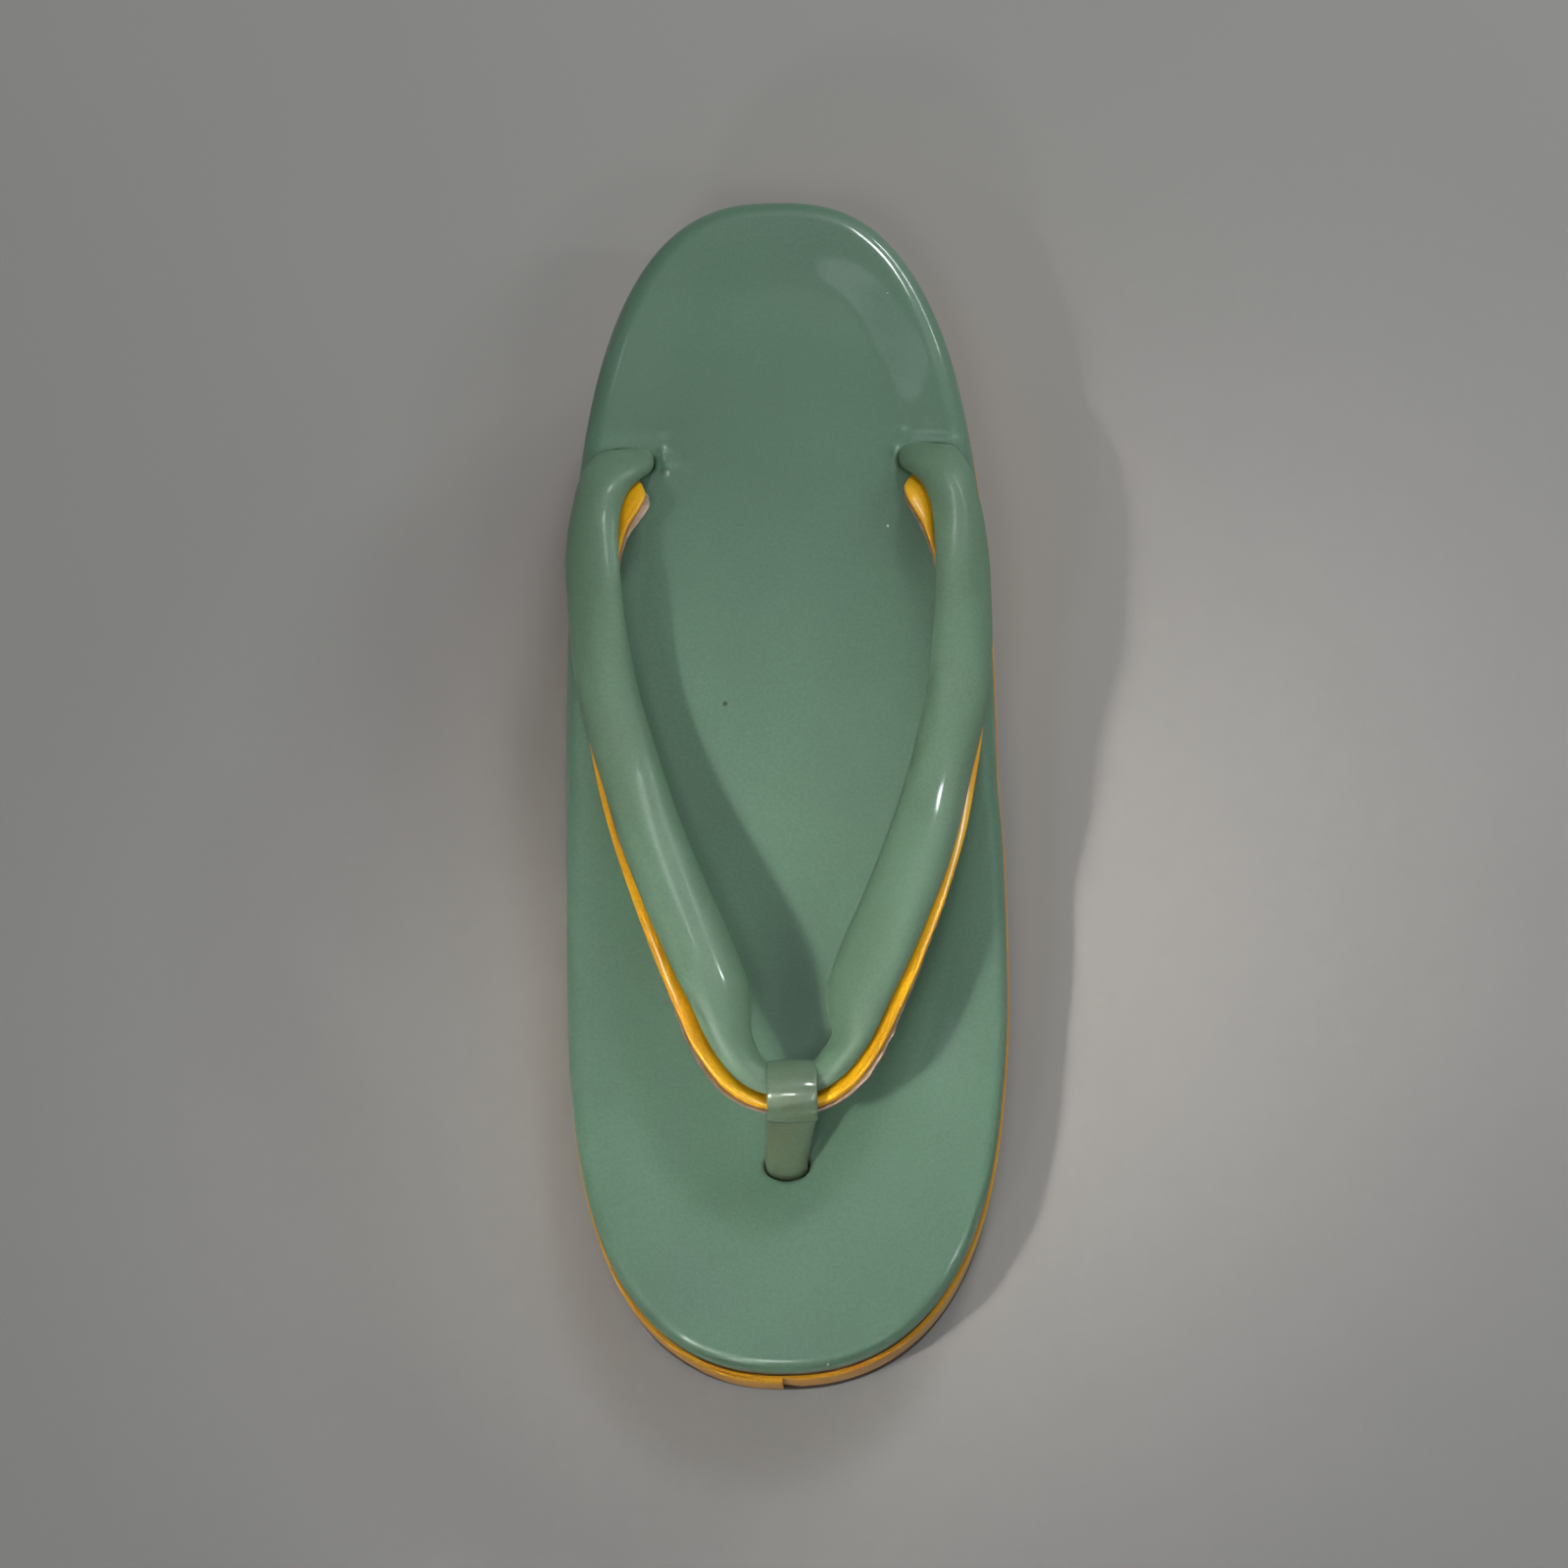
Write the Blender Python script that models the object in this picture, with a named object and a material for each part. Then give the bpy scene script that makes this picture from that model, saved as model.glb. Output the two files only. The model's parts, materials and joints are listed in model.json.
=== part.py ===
"""Zori sandal: a padded vinyl footbed on a wrapped wedge, a lined V strap and a toe post.

The toe points along -Y and the heel along +Y. The origin lies on the floor, under the middle
of the sole. Every length is in metres, and tables hold shares of the named sizes.
"""

import math

import bmesh
import bpy
from mathutils import Vector

MM = 0.001

# Sole, seen from above
SOLE_LENGTH = 240.0 * MM
BALL_WIDTH = 87.6 * MM
BALL_STATION = 0.40
TOE_POWER = 3.3
TOE_FULLNESS = 2.3
HEEL_POWER = 3.35
HEEL_FULLNESS = 2.6

# Sole, seen from the side
FOREFOOT_HEIGHT = 23.0 * MM
HEEL_HEIGHT = 48.5 * MM
TOE_SPRING = 5.0 * MM
TOE_TOP_RISE = 2.0 * MM
ARCH_LIFT = 2.5 * MM
HEEL_ROLL = 1.5 * MM

# Layers of the sole
OUTSOLE_THICKNESS = 3.0 * MM
OUTSOLE_CHAMFER = 0.8 * MM
FOOTBED_THICKNESS = 8.0 * MM
FOOTBED_INSET = 0.3 * MM
FOOTBED_TUCK = 2.5 * MM
EDGE_ROUND = 5.0 * MM
RIM_WIDTH = 11.0 * MM
DISH_DEPTH = 1.3 * MM
WRAP_THICKNESS = 0.9 * MM
WRAP_LAP = 9.0 * MM
SIDE_UNDERCUT = math.radians(3.5)
CLEARANCE = 0.3 * MM
# Share of the tuck that the footbed's lower edge is rounded by
TUCK_ROUND_SHARE = 0.3
# Dish of the footbed inside its rolled edge: share of the rim's width, share of the dish's depth
DISH_TABLE = ((0.45, 0.30), (1.0, 1.0))

# Strap
LOOP_STATION = 0.2175
SLOT_STATION = 0.765
SLOT_EDGE = 4.5 * MM
SLOT_DEPTH = 12.0 * MM
SLOT_TILT = math.radians(28)
MOUTH_FLARE = 1.4 * MM
FOOT_ROOM = 13.5 * MM
STRAP_WIDTH = 14.4 * MM
STRAP_HEIGHT = 6.9 * MM
LINING_WIDTH = 15.6 * MM
LINING_THICKNESS = 2.5 * MM
FRONT_LEAN = 1.7 * MM
LEAN_REACH = 0.6
# Shares of a section's height that lie below its widest line
STRAP_LOW_SHARE = 0.30
LINING_LOW_SHARE = 0.55
# Shares of the slot's depth: end of its flared mouth, and where the strap runs straight down
SLOT_FLARE_END = 0.30
STRAIGHT_DEPTH = 0.20
# Free space round the strap's end in its slot
SLOT_EASE = 0.45 * MM
# Below this level share of its direction the strap keeps its last heading
LEVEL_SHARE = 0.2

# Toe post
POST_STATION = 0.172
POST_WIDTH = 9.7 * MM
POST_FOOT_WIDTH = 8.8 * MM
POST_FOOT_DEPTH = 5.6 * MM
POST_PINCH_DEPTH = 3.6 * MM
POST_DEPTH_IN_SOLE = 12.0 * MM
LOOP_THICKNESS = 1.2 * MM
LOOP_EASE = 0.5 * MM
LOOP_EDGE_ROUND = 0.35 * MM

# Powers of the oval sections: 2 is an ellipse, more is boxier
STRAP_POWER = 2.2
LINING_POWER = 2.8
SLOT_POWER = 3.2
LOOP_POWER = 3.0
STEM_POWER = 2.4

# Mesh fineness
TOE_STEPS = 15
HEEL_STEPS = 17
EDGE_STEPS = 4
STRAP_SUBSTEPS = 2
STRAP_SIDES = 16
LINING_SIDES = 12
POST_SIDES = 20
LOOP_SIDES = 24
SHARP_ANGLE = math.radians(40)

# Rise of the footbed from forefoot height to heel height: share of length, share of rise
TOP_PROFILE = (
    (0.00, 0.00),
    (0.24, 0.00),
    (0.40, 0.115),
    (0.55, 0.36),
    (0.70, 0.64),
    (0.85, 0.89),
    (1.00, 1.00),
)

# Where the underside leaves the floor: share of length
TOE_ROLL_END = 0.17
ARCH_START = 0.42
ARCH_END = 0.64
HEEL_ROLL_START = 0.93

# Right half of the strap, from the loop to the slot. Columns:
# along   share of the way from the loop station to the slot station
# out     share of the slot's distance from the middle
# room    share of the foot room, left open between strap and footbed
# strap   share of the strap's width
# height  share of the strap's height
# lining  share of the lining's width
# shift   outward shift of the lining, as a share of its width
# sheet   share of the lining's thickness
# roll    degrees that the strap's back turns outwards
STRAP_TABLE = (
    (0.000, 0.00, 1.00, 0.53, 0.78, 0.62, 0.000, 1.00, -52),
    (0.001, 0.15, 1.00, 0.53, 0.78, 0.62, 0.000, 1.00, -52),
    (0.026, 0.30, 1.00, 0.62, 0.84, 0.68, 0.020, 1.04, -49),
    (0.078, 0.41, 0.99, 0.84, 0.92, 0.84, 0.060, 1.04, -43),
    (0.140, 0.49, 0.98, 1.00, 0.98, 0.98, 0.062, 1.04, -37),
    (0.220, 0.63, 0.94, 1.05, 1.00, 1.03, 0.030, 1.00, -31),
    (0.310, 0.79, 0.87, 1.01, 1.00, 1.00, -0.010, 1.00, -24),
    (0.400, 0.92, 0.77, 0.95, 1.00, 0.93, -0.015, 1.00, -16),
    (0.500, 1.03, 0.64, 0.89, 0.98, 0.86, 0.000, 0.95, -4),
    (0.600, 1.12, 0.49, 0.86, 0.97, 0.76, 0.025, 0.90, 14),
    (0.700, 1.17, 0.33, 0.84, 0.94, 0.63, 0.050, 0.80, 35),
    (0.790, 1.17, 0.19, 0.84, 0.91, 0.60, 0.050, 0.75, 48),
    (0.870, 1.14, 0.10, 0.82, 0.86, 0.69, 0.010, 0.75, 46),
    (0.930, 1.09, 0.08, 0.80, 0.76, 0.79, -0.060, 0.75, 32),
    (0.970, 1.04, 0.06, 0.80, 0.62, 0.78, -0.040, 0.70, 12),
)
SLOT_ROW = (1.000, 1.00, 0.00, 0.78, 0.46, 0.72, 0.000, 0.66, 0)
# Depths of the strap's straight end below the footbed: shares of the slot's depth
STRAP_END_DEPTHS = (-0.08, 0.24, 0.62, 1.00)

# Toe post from the bottom of its hole to the loop. Columns:
# rise   share of the way up, from the hole's bottom at 0 to the footbed at 1 and the loop at 2
# back   share of the way back from the hole to the loop
# width  share of the way from the foot's width to the loop's width
# depth  share of the way from the foot's depth to the pinch's depth
POST_TABLE = (
    (0.0, 0.00, 0.0, 0.0),
    (1.06, 0.00, 0.0, 0.0),
    (1.25, 0.16, 0.2, 0.1),
    (1.50, 0.42, 0.6, 0.5),
    (1.72, 0.68, 1.0, 1.0),
    (1.86, 0.86, 1.0, 1.0),
)

GREEN_VINYL = (0.135, 0.225, 0.160, 1.0)
YELLOW_VINYL = (0.620, 0.300, 0.020, 1.0)
BROWN_RUBBER = (0.060, 0.028, 0.018, 1.0)
CORK_BODY = (0.330, 0.210, 0.110, 1.0)
GREEN_ROUGHNESS = 0.18
YELLOW_ROUGHNESS = 0.25
BROWN_ROUGHNESS = 0.70
CORK_ROUGHNESS = 0.80


def smooth_value(rows, share):
    """Value of a two-column table at a share, without overshoot between its rows."""
    if share <= rows[0][0]:
        return rows[0][1]
    if share >= rows[-1][0]:
        return rows[-1][1]
    steps = [(b[1] - a[1]) / (b[0] - a[0]) for a, b in zip(rows, rows[1:])]
    slopes = [steps[0]]
    for before, after in zip(steps, steps[1:]):
        slopes.append(2 * before * after / (before + after) if before * after > 0 else 0.0)
    slopes.append(steps[-1])
    index = max(i for i in range(len(rows) - 1) if rows[i][0] <= share)
    span = rows[index + 1][0] - rows[index][0]
    t = (share - rows[index][0]) / span
    start, end = rows[index][1], rows[index + 1][1]
    return (
        start * (1 + 2 * t) * (1 - t) ** 2
        + end * t * t * (3 - 2 * t)
        + span * slopes[index] * t * (1 - t) ** 2
        - span * slopes[index + 1] * t * t * (1 - t)
    )


def through_points(rows, index, t):
    """Point of the smooth curve through rows of numbers, t of the way from row index to the next."""
    before = rows[max(index - 1, 0)]
    start = rows[index]
    end = rows[index + 1]
    after = rows[min(index + 2, len(rows) - 1)]
    values = []
    for a, b, c, d in zip(before, start, end, after):
        bend = 2 * a - 5 * b + 4 * c - d
        turn = 3 * (b - c) + d - a
        values.append(0.5 * (2 * b + (c - a) * t + bend * t * t + turn * t ** 3))
    return values


def station_y(share):
    """Place along Y of a share of the sole's length, counted from the toe.

    The tape's second layer at the toe tip counts in the middle of the whole sandal.
    """
    return (share - 0.5) * SOLE_LENGTH + WRAP_THICKNESS / 2


def share_of(y):
    """Share of the sole's length at a place along Y."""
    return (y - WRAP_THICKNESS / 2) / SOLE_LENGTH + 0.5


def top_height(y):
    """Height of the footbed's rim."""
    share = share_of(y)
    rise = smooth_value(TOP_PROFILE, share) * (HEEL_HEIGHT - FOREFOOT_HEIGHT)
    spring = max(0.0, 1 - share / TOE_ROLL_END) ** 2
    return FOREFOOT_HEIGHT + rise + TOE_TOP_RISE * spring


def floor_height(y):
    """Height of the underside: flat under forefoot and heel, lifted at toe, arch and heel end."""
    share = share_of(y)
    height = TOE_SPRING * max(0.0, 1 - share / TOE_ROLL_END) ** 2
    if ARCH_START < share < ARCH_END:
        height += ARCH_LIFT * math.sin(math.pi * (share - ARCH_START) / (ARCH_END - ARCH_START)) ** 2
    height += HEEL_ROLL * max(0.0, (share - HEEL_ROLL_START) / (1 - HEEL_ROLL_START)) ** 2
    return height


def wall_top(y):
    """Height of the seam between the wrapped wall and the footbed."""
    return top_height(y) - FOOTBED_THICKNESS - CLEARANCE


def half_width(share):
    """Half of the sole's width at a share of its length."""
    if share < BALL_STATION:
        reach = (BALL_STATION - share) / BALL_STATION
        return BALL_WIDTH / 2 * (1 - reach ** TOE_POWER) ** (1 / TOE_FULLNESS)
    reach = (share - BALL_STATION) / (1 - BALL_STATION)
    return BALL_WIDTH / 2 * (1 - reach ** HEEL_POWER) ** (1 / HEEL_FULLNESS)


def outline():
    """Points of the sole's outline with their outward normals, from the toe tip, right side first."""
    front = BALL_STATION * SOLE_LENGTH
    back = SOLE_LENGTH - front
    ball_y = station_y(BALL_STATION)
    right = []
    for step in range(TOE_STEPS):
        angle = math.pi / 2 * step / TOE_STEPS
        width = math.sin(angle) ** (2 / TOE_FULLNESS)
        right.append(Vector((BALL_WIDTH / 2 * width, ball_y - front * math.cos(angle) ** (2 / TOE_POWER))))
    for step in range(HEEL_STEPS + 1):
        angle = math.pi / 2 * (1 - step / HEEL_STEPS)
        width = abs(math.sin(angle)) ** (2 / HEEL_FULLNESS)
        reach = abs(math.cos(angle)) ** (2 / HEEL_POWER)
        right.append(Vector((BALL_WIDTH / 2 * width, ball_y + back * reach)))
    left = [Vector((-point.x, point.y)) for point in right[-2:0:-1]]
    points = right + left
    points[0].x = 0.0
    points[HEEL_STEPS + TOE_STEPS].x = 0.0
    rim = []
    for index, point in enumerate(points):
        along = points[(index + 1) % len(points)] - points[index - 1]
        rim.append((point, Vector((along.y, -along.x)).normalized()))
    return rim


def ring(inset, height):
    """Closed ring inside the outline. Inset and height may be numbers or functions of y."""
    points = []
    for point, normal in outline():
        depth = inset(point.y) if callable(inset) else inset
        place = point - normal * depth
        points.append(Vector((place.x, place.y, height(place.y))))
    return points


def wall_inset(depth_function):
    """Inset of the undercut wall at the height that depth_function gives for a y."""
    return lambda y: (wall_top(y) - depth_function(y)) * math.tan(SIDE_UNDERCUT)


def add_material(name, color, roughness):
    """Principled material in a plain colour."""
    material = bpy.data.materials.new(name)
    material.use_nodes = True
    shader = material.node_tree.nodes["Principled BSDF"]
    shader.inputs["Base Color"].default_value = color
    shader.inputs["Roughness"].default_value = roughness
    shader.inputs["Metallic"].default_value = 0.0
    material.diffuse_color = color
    return material


def add_object(name, points, faces, material):
    """Object made from points and faces, with doubled points merged."""
    mesh = bpy.data.meshes.new(name)
    shape = bmesh.new()
    verts = [shape.verts.new(point) for point in points]
    for face in faces:
        shape.faces.new([verts[index] for index in face])
    bmesh.ops.recalc_face_normals(shape, faces=shape.faces)
    shape.to_mesh(mesh)
    shape.free()
    mesh.shade_smooth()
    mesh.set_sharp_from_angle(angle=SHARP_ANGLE)
    piece = bpy.data.objects.new(name, mesh)
    bpy.context.collection.objects.link(piece)
    if material is not None:
        mesh.materials.append(material)
    return piece


def side_faces(lower, upper, count):
    """Faces between two rings that start at the point numbers lower and upper."""
    return [
        (lower + i, lower + (i + 1) % count, upper + (i + 1) % count, upper + i)
        for i in range(count)
    ]


def ladder_faces(start, count, upward):
    """Strips from the right to the left side of one mirrored ring."""
    faces = []
    for i in range(count // 2):
        corners = [i, i + 1, (count - i - 1) % count, (count - i) % count]
        corners = list(dict.fromkeys(corners))
        if not upward:
            corners.reverse()
        faces.append(tuple(start + corner for corner in corners))
    return faces


def sole_solid(name, rings, material):
    """Solid from a stack of rings, closed by strips across its first and last ring."""
    count = len(rings[0])
    points = [point for points_of_ring in rings for point in points_of_ring]
    faces = ladder_faces(0, count, False)
    for level in range(len(rings) - 1):
        faces += side_faces(level * count, (level + 1) * count, count)
    faces += ladder_faces((len(rings) - 1) * count, count, True)
    return add_object(name, points, faces, material)


def swept_solid(name, sections, material):
    """Solid through a row of sections with equal numbers of points, closed at both ends."""
    count = len(sections[0])
    points = [point for section in sections for point in section]
    faces = [tuple(reversed(range(count)))]
    for level in range(len(sections) - 1):
        faces += side_faces(level * count, (level + 1) * count, count)
    last = (len(sections) - 1) * count
    faces.append(tuple(range(last, last + count)))
    return add_object(name, points, faces, material)


def rounded_section(half, above, below, sides, power):
    """Closed oval section: pairs of (across, up), with its own height above and below zero."""
    pairs = []
    for step in range(sides):
        angle = 2 * math.pi * step / sides
        across = math.copysign(abs(math.cos(angle)) ** (2 / power), math.cos(angle))
        up = math.copysign(abs(math.sin(angle)) ** (2 / power), math.sin(angle))
        pairs.append((half * across, (above if up > 0 else below) * up))
    return pairs


def slot_place():
    """Distance of a slot's centre from the middle of the sole."""
    end_width = max(SLOT_ROW[3] * STRAP_WIDTH, SLOT_ROW[5] * LINING_WIDTH)
    return half_width(SLOT_STATION) - SLOT_EDGE - end_width / 2


def strap_row(row):
    """Sizes of one row of the strap's table: place, section sizes and roll."""
    along, out, room, strap, height, lining, shift, sheet, roll = row
    y = station_y(LOOP_STATION + along * (SLOT_STATION - LOOP_STATION))
    turn = math.radians(roll)
    width = max(strap * STRAP_WIDTH, lining * LINING_WIDTH)
    reach = width / 2 * abs(math.sin(turn)) + sheet * LINING_THICKNESS * math.cos(turn)
    z = top_height(y) + room * FOOT_ROOM + reach + CLEARANCE
    return [
        out * slot_place(), y, z,
        strap * STRAP_WIDTH, height * STRAP_HEIGHT,
        lining * LINING_WIDTH, sheet * LINING_THICKNESS, turn, shift * LINING_WIDTH,
    ]


def strap_rows():
    """Rows of the right half of the strap, from the loop to the bottom of the slot."""
    rows = [strap_row(row) for row in STRAP_TABLE]
    for depth in STRAP_END_DEPTHS:
        end = strap_row(SLOT_ROW)
        end[:3] = slot_point(1, depth * (SLOT_DEPTH - CLEARANCE))
        rows.append(end)
    return rows


def slot_axis():
    """Direction in which a slot goes down into the sole, leaning towards the heel."""
    return Vector((0, math.sin(SLOT_TILT), -math.cos(SLOT_TILT)))


def slot_point(side, depth):
    """Point on the middle line of a slot at a depth below the footbed's rim."""
    y = station_y(SLOT_STATION)
    return Vector((side * slot_place(), y, top_height(y))) + slot_axis() * (depth / math.cos(SLOT_TILT))


def strap_stations():
    """Frames along the right half: centre, across, up and section sizes."""
    rows = strap_rows()
    samples = []
    for index in range(len(rows) - 1):
        for step in range(STRAP_SUBSTEPS):
            samples.append(through_points(rows, index, step / STRAP_SUBSTEPS))
    samples.append(rows[-1])
    centres = [Vector(sample[:3]) for sample in samples]
    frames = []
    heading = Vector((1, 0, 0))
    for index, sample in enumerate(samples):
        if index == 0:
            direction = Vector((1, 0, 0))
        else:
            direction = centres[min(index + 1, len(centres) - 1)] - centres[index - 1]
            direction.normalize()
        level = Vector((direction.x, direction.y, 0))
        if level.length > LEVEL_SHARE:
            heading = level.normalized()
        if sample[1] > slot_point(1, STRAIGHT_DEPTH * SLOT_DEPTH).y:
            heading = Vector((0, 1, 0))
            direction = slot_axis()
        across = heading.cross(Vector((0, 0, 1))).normalized()
        up = across.cross(direction).normalized()
        turn = sample[7]
        turned_across = across * math.cos(turn) - up * math.sin(turn)
        turned_up = up * math.cos(turn) + across * math.sin(turn)
        frames.append((centres[index], turned_across, turned_up, sample[3:7] + sample[8:]))
    return frames


def lean_at(y):
    """Sideways shift of the strap towards its front end."""
    share = (station_y(SLOT_STATION) - y) / (station_y(SLOT_STATION) - station_y(LOOP_STATION))
    share = min(max(share / LEAN_REACH, 0.0), 1.0)
    return FRONT_LEAN * share * share * (3 - 2 * share)


def mirrored_sweep(half_sections):
    """Sections of the whole strap from those of its right half, with the lean added."""
    left = [[Vector((-p.x, p.y, p.z)) for p in section] for section in half_sections[:0:-1]]
    sections = left + half_sections
    return [[p + Vector((lean_at(p.y), 0, 0)) for p in section] for section in sections]


def strap_solid(material):
    """Padded tube on the strap's back."""
    sections = []
    for centre, across, up, sizes in strap_stations():
        width, height = sizes[0], sizes[1]
        low = height * STRAP_LOW_SHARE
        middle = centre + up * (CLEARANCE / 2 + low)
        pairs = rounded_section(width / 2, height - low, low, STRAP_SIDES, STRAP_POWER)
        sections.append([middle + across * a + up * b for a, b in pairs])
    return swept_solid("strap", mirrored_sweep(sections), material)


def lining_solid(material):
    """Flat padded lining under the strap."""
    sections = []
    for centre, across, up, sizes in strap_stations():
        width, thickness = sizes[2], sizes[3]
        low = thickness * LINING_LOW_SHARE
        middle = centre - up * (CLEARANCE / 2 + thickness - low) + across * sizes[4]
        pairs = rounded_section(width / 2, thickness - low, low, LINING_SIDES, LINING_POWER)
        sections.append([middle + across * a + up * b for a, b in pairs])
    return swept_solid("strap_lining", mirrored_sweep(sections), material)


def slot_cutter(side):
    """Slanted slot for one end of the strap, with a flared mouth."""
    end = strap_row(SLOT_ROW)
    half = max(end[3], end[5]) / 2 + CLEARANCE
    up = Vector((1, 0, 0)).cross(slot_axis())
    sections = []
    stops = ((SLOT_DEPTH, 0.0), (SLOT_DEPTH * SLOT_FLARE_END, 0.0), (-EDGE_ROUND, MOUTH_FLARE))
    for depth, flare in stops:
        above = end[4] + SLOT_EASE + flare
        below = end[6] + SLOT_EASE + flare
        pairs = rounded_section(half + flare / 2, above, below, STRAP_SIDES, SLOT_POWER)
        middle = slot_point(side, depth)
        sections.append([middle + Vector((a, 0, 0)) + up * b for a, b in pairs])
    return cutter("slot_cutter_" + ("right" if side > 0 else "left"), sections)


def cutter(name, sections):
    """Hidden object that only cuts others."""
    piece = swept_solid(name, sections, None)
    piece.hide_render = True
    piece.display_type = "WIRE"
    return piece


def combine(piece, other, operation):
    """Boolean of a piece with another object."""
    modifier = piece.modifiers.new(operation.lower() + "_" + other.name, "BOOLEAN")
    modifier.operation = operation
    modifier.solver = "EXACT"
    modifier.object = other


def loop_frame():
    """Centre and turned axes of the strap inside the loop."""
    centre, across, up, sizes = strap_stations()[0]
    return centre + Vector((FRONT_LEAN, 0, 0)), across, up, sizes


def round_strap(frame, growth):
    """Oval round the strap and its lining at one frame, grown by a length."""
    centre, across, up, sizes = frame
    half = max(sizes[0], sizes[2]) / 2 + growth
    pairs = rounded_section(half, sizes[1] + growth, sizes[3] + growth, LOOP_SIDES, LOOP_POWER)
    return [centre + across * a + up * b for a, b in pairs]


def loop_prism(growth, stops):
    """Sections of the loop's oval at places across the strap, as pairs of place and inset."""
    frame = loop_frame()
    return [[p + Vector((x, 0, 0)) for p in round_strap(frame, growth - inset)] for x, inset in stops]


def loop_passage():
    """Sections of the space that the strap takes up in the loop, with its ease."""
    frames = strap_stations()
    reach = (POST_WIDTH + STRAP_WIDTH) / 2
    past = next(index for index, frame in enumerate(frames) if frame[0].x > reach)
    return mirrored_sweep([round_strap(frame, LOOP_EASE) for frame in frames[:past + 1]])


def post_sections(grown, top_share):
    """Sections of the post's stem, grown by a length, up to a rise of top_share."""
    centre = loop_frame()[0]
    foot_y = station_y(POST_STATION)
    surface = top_height(foot_y) - DISH_DEPTH
    bottom = surface - POST_DEPTH_IN_SOLE + CLEARANCE - grown
    sections = []
    for rise, back, wide, deep in POST_TABLE:
        if rise > top_share:
            break
        if rise <= 1:
            z = bottom + (surface - bottom) * rise
        else:
            z = surface + (centre.z - surface) * (rise - 1)
        middle = Vector((FRONT_LEAN * back, foot_y + (centre.y - foot_y) * back, z))
        half = (POST_FOOT_WIDTH + (POST_WIDTH - POST_FOOT_WIDTH) * wide) / 2 + grown
        depth = (POST_FOOT_DEPTH + (POST_PINCH_DEPTH - POST_FOOT_DEPTH) * deep) / 2 + grown
        pairs = rounded_section(half, depth, depth, POST_SIDES, STEM_POWER)
        sections.append([middle + Vector((a, b, 0)) for a, b in pairs])
    return sections


def post_solid(material):
    """Toe post: a strip looped round the strap, gathered into a stem that enters the sole."""
    half = POST_WIDTH / 2
    outer = LOOP_THICKNESS + LOOP_EASE
    stops = (
        (-half, LOOP_EDGE_ROUND),
        (LOOP_EDGE_ROUND - half, 0.0),
        (half - LOOP_EDGE_ROUND, 0.0),
        (half, LOOP_EDGE_ROUND),
    )
    post = swept_solid("toe_post", loop_prism(outer, stops), material)
    stem = cutter("stem_guide", post_sections(0.0, 2.0))
    combine(post, stem, "UNION")
    passage = cutter("strap_passage", loop_passage())
    combine(post, passage, "DIFFERENCE")
    return post


def post_hole():
    """Hole for the post's foot, a clearance larger than the foot."""
    bottom = post_sections(CLEARANCE, 0.0)[0]
    top = [p + Vector((0, 0, POST_DEPTH_IN_SOLE + EDGE_ROUND)) for p in bottom]
    return cutter("post_hole", [bottom, top])


def outsole_solid(material):
    """Rubber sheet under the wedge."""
    lower = floor_height
    upper = lambda y: floor_height(y) + OUTSOLE_THICKNESS
    corner = lambda y: floor_height(y) + OUTSOLE_CHAMFER
    rings = [
        ring(lambda y: wall_inset(upper)(y) + OUTSOLE_CHAMFER, lower),
        ring(wall_inset(upper), corner),
        ring(wall_inset(upper), upper),
    ]
    return sole_solid("outsole", rings, material)


def wedge_solid(material):
    """Light body that gives the sole its height."""
    lower = lambda y: floor_height(y) + OUTSOLE_THICKNESS + CLEARANCE
    skin = WRAP_THICKNESS + CLEARANCE
    rings = [
        ring(lambda y: wall_inset(lower)(y) + skin, lower),
        ring(skin, wall_top),
    ]
    return sole_solid("wedge", rings, material)


def wrap_solid(material):
    """Tape round the wedge, whose ends overlap at the toe."""
    lower = lambda y: floor_height(y) + OUTSOLE_THICKNESS + CLEARANCE
    rings = []
    for inset, height in ((0.0, lower), (0.0, wall_top), (WRAP_THICKNESS, wall_top), (WRAP_THICKNESS, lower)):
        depth = wall_inset(height)
        points = ring(lambda y: depth(y) + inset, height)
        if inset == 0.0:
            points = lapped(points)
        else:
            points.append(points[0].copy())
            points[0].x += WRAP_THICKNESS / 2
            points[-1].x -= WRAP_THICKNESS / 2
        rings.append(points)
    count = len(rings[0])
    points = [point for points_of_ring in rings for point in points_of_ring]
    faces = []
    for level in range(len(rings)):
        faces += side_faces(level * count, (level + 1) % len(rings) * count, count)
    return add_object("side_wrap", points, faces, material)


def lapped(points):
    """Outer ring of the tape with its left end laid over its right end at the toe tip."""
    proud = Vector((0, -WRAP_THICKNESS, 0))
    raised = []
    for point in points[1:]:
        over = -WRAP_LAP < point.x < 0 and point.y < 0
        raised.append(point + proud if over else point)
    start = points[0] + Vector((WRAP_THICKNESS / 4, 0, 0))
    end = points[0] + proud - Vector((WRAP_THICKNESS / 4, 0, 0))
    return [start, *raised, end]


def footbed_solid(material):
    """Padded top with a rolled edge and a shallow dish, cut for the strap's ends and the post."""
    def below(drop):
        return lambda y: top_height(y) - drop

    low_round = FOOTBED_TUCK * TUCK_ROUND_SHARE
    rings = [
        ring(FOOTBED_INSET + FOOTBED_TUCK, below(FOOTBED_THICKNESS)),
        ring(FOOTBED_INSET + low_round, below(FOOTBED_THICKNESS - low_round)),
    ]
    for step in range(EDGE_STEPS + 1):
        angle = math.pi / 2 * step / EDGE_STEPS
        inset = FOOTBED_INSET + EDGE_ROUND * (1 - math.cos(angle))
        rings.append(ring(inset, below(EDGE_ROUND * (1 - math.sin(angle)))))
    for share, drop in DISH_TABLE:
        rings.append(ring(FOOTBED_INSET + EDGE_ROUND + RIM_WIDTH * share, below(DISH_DEPTH * drop)))
    return sole_solid("footbed", rings, material)


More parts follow.
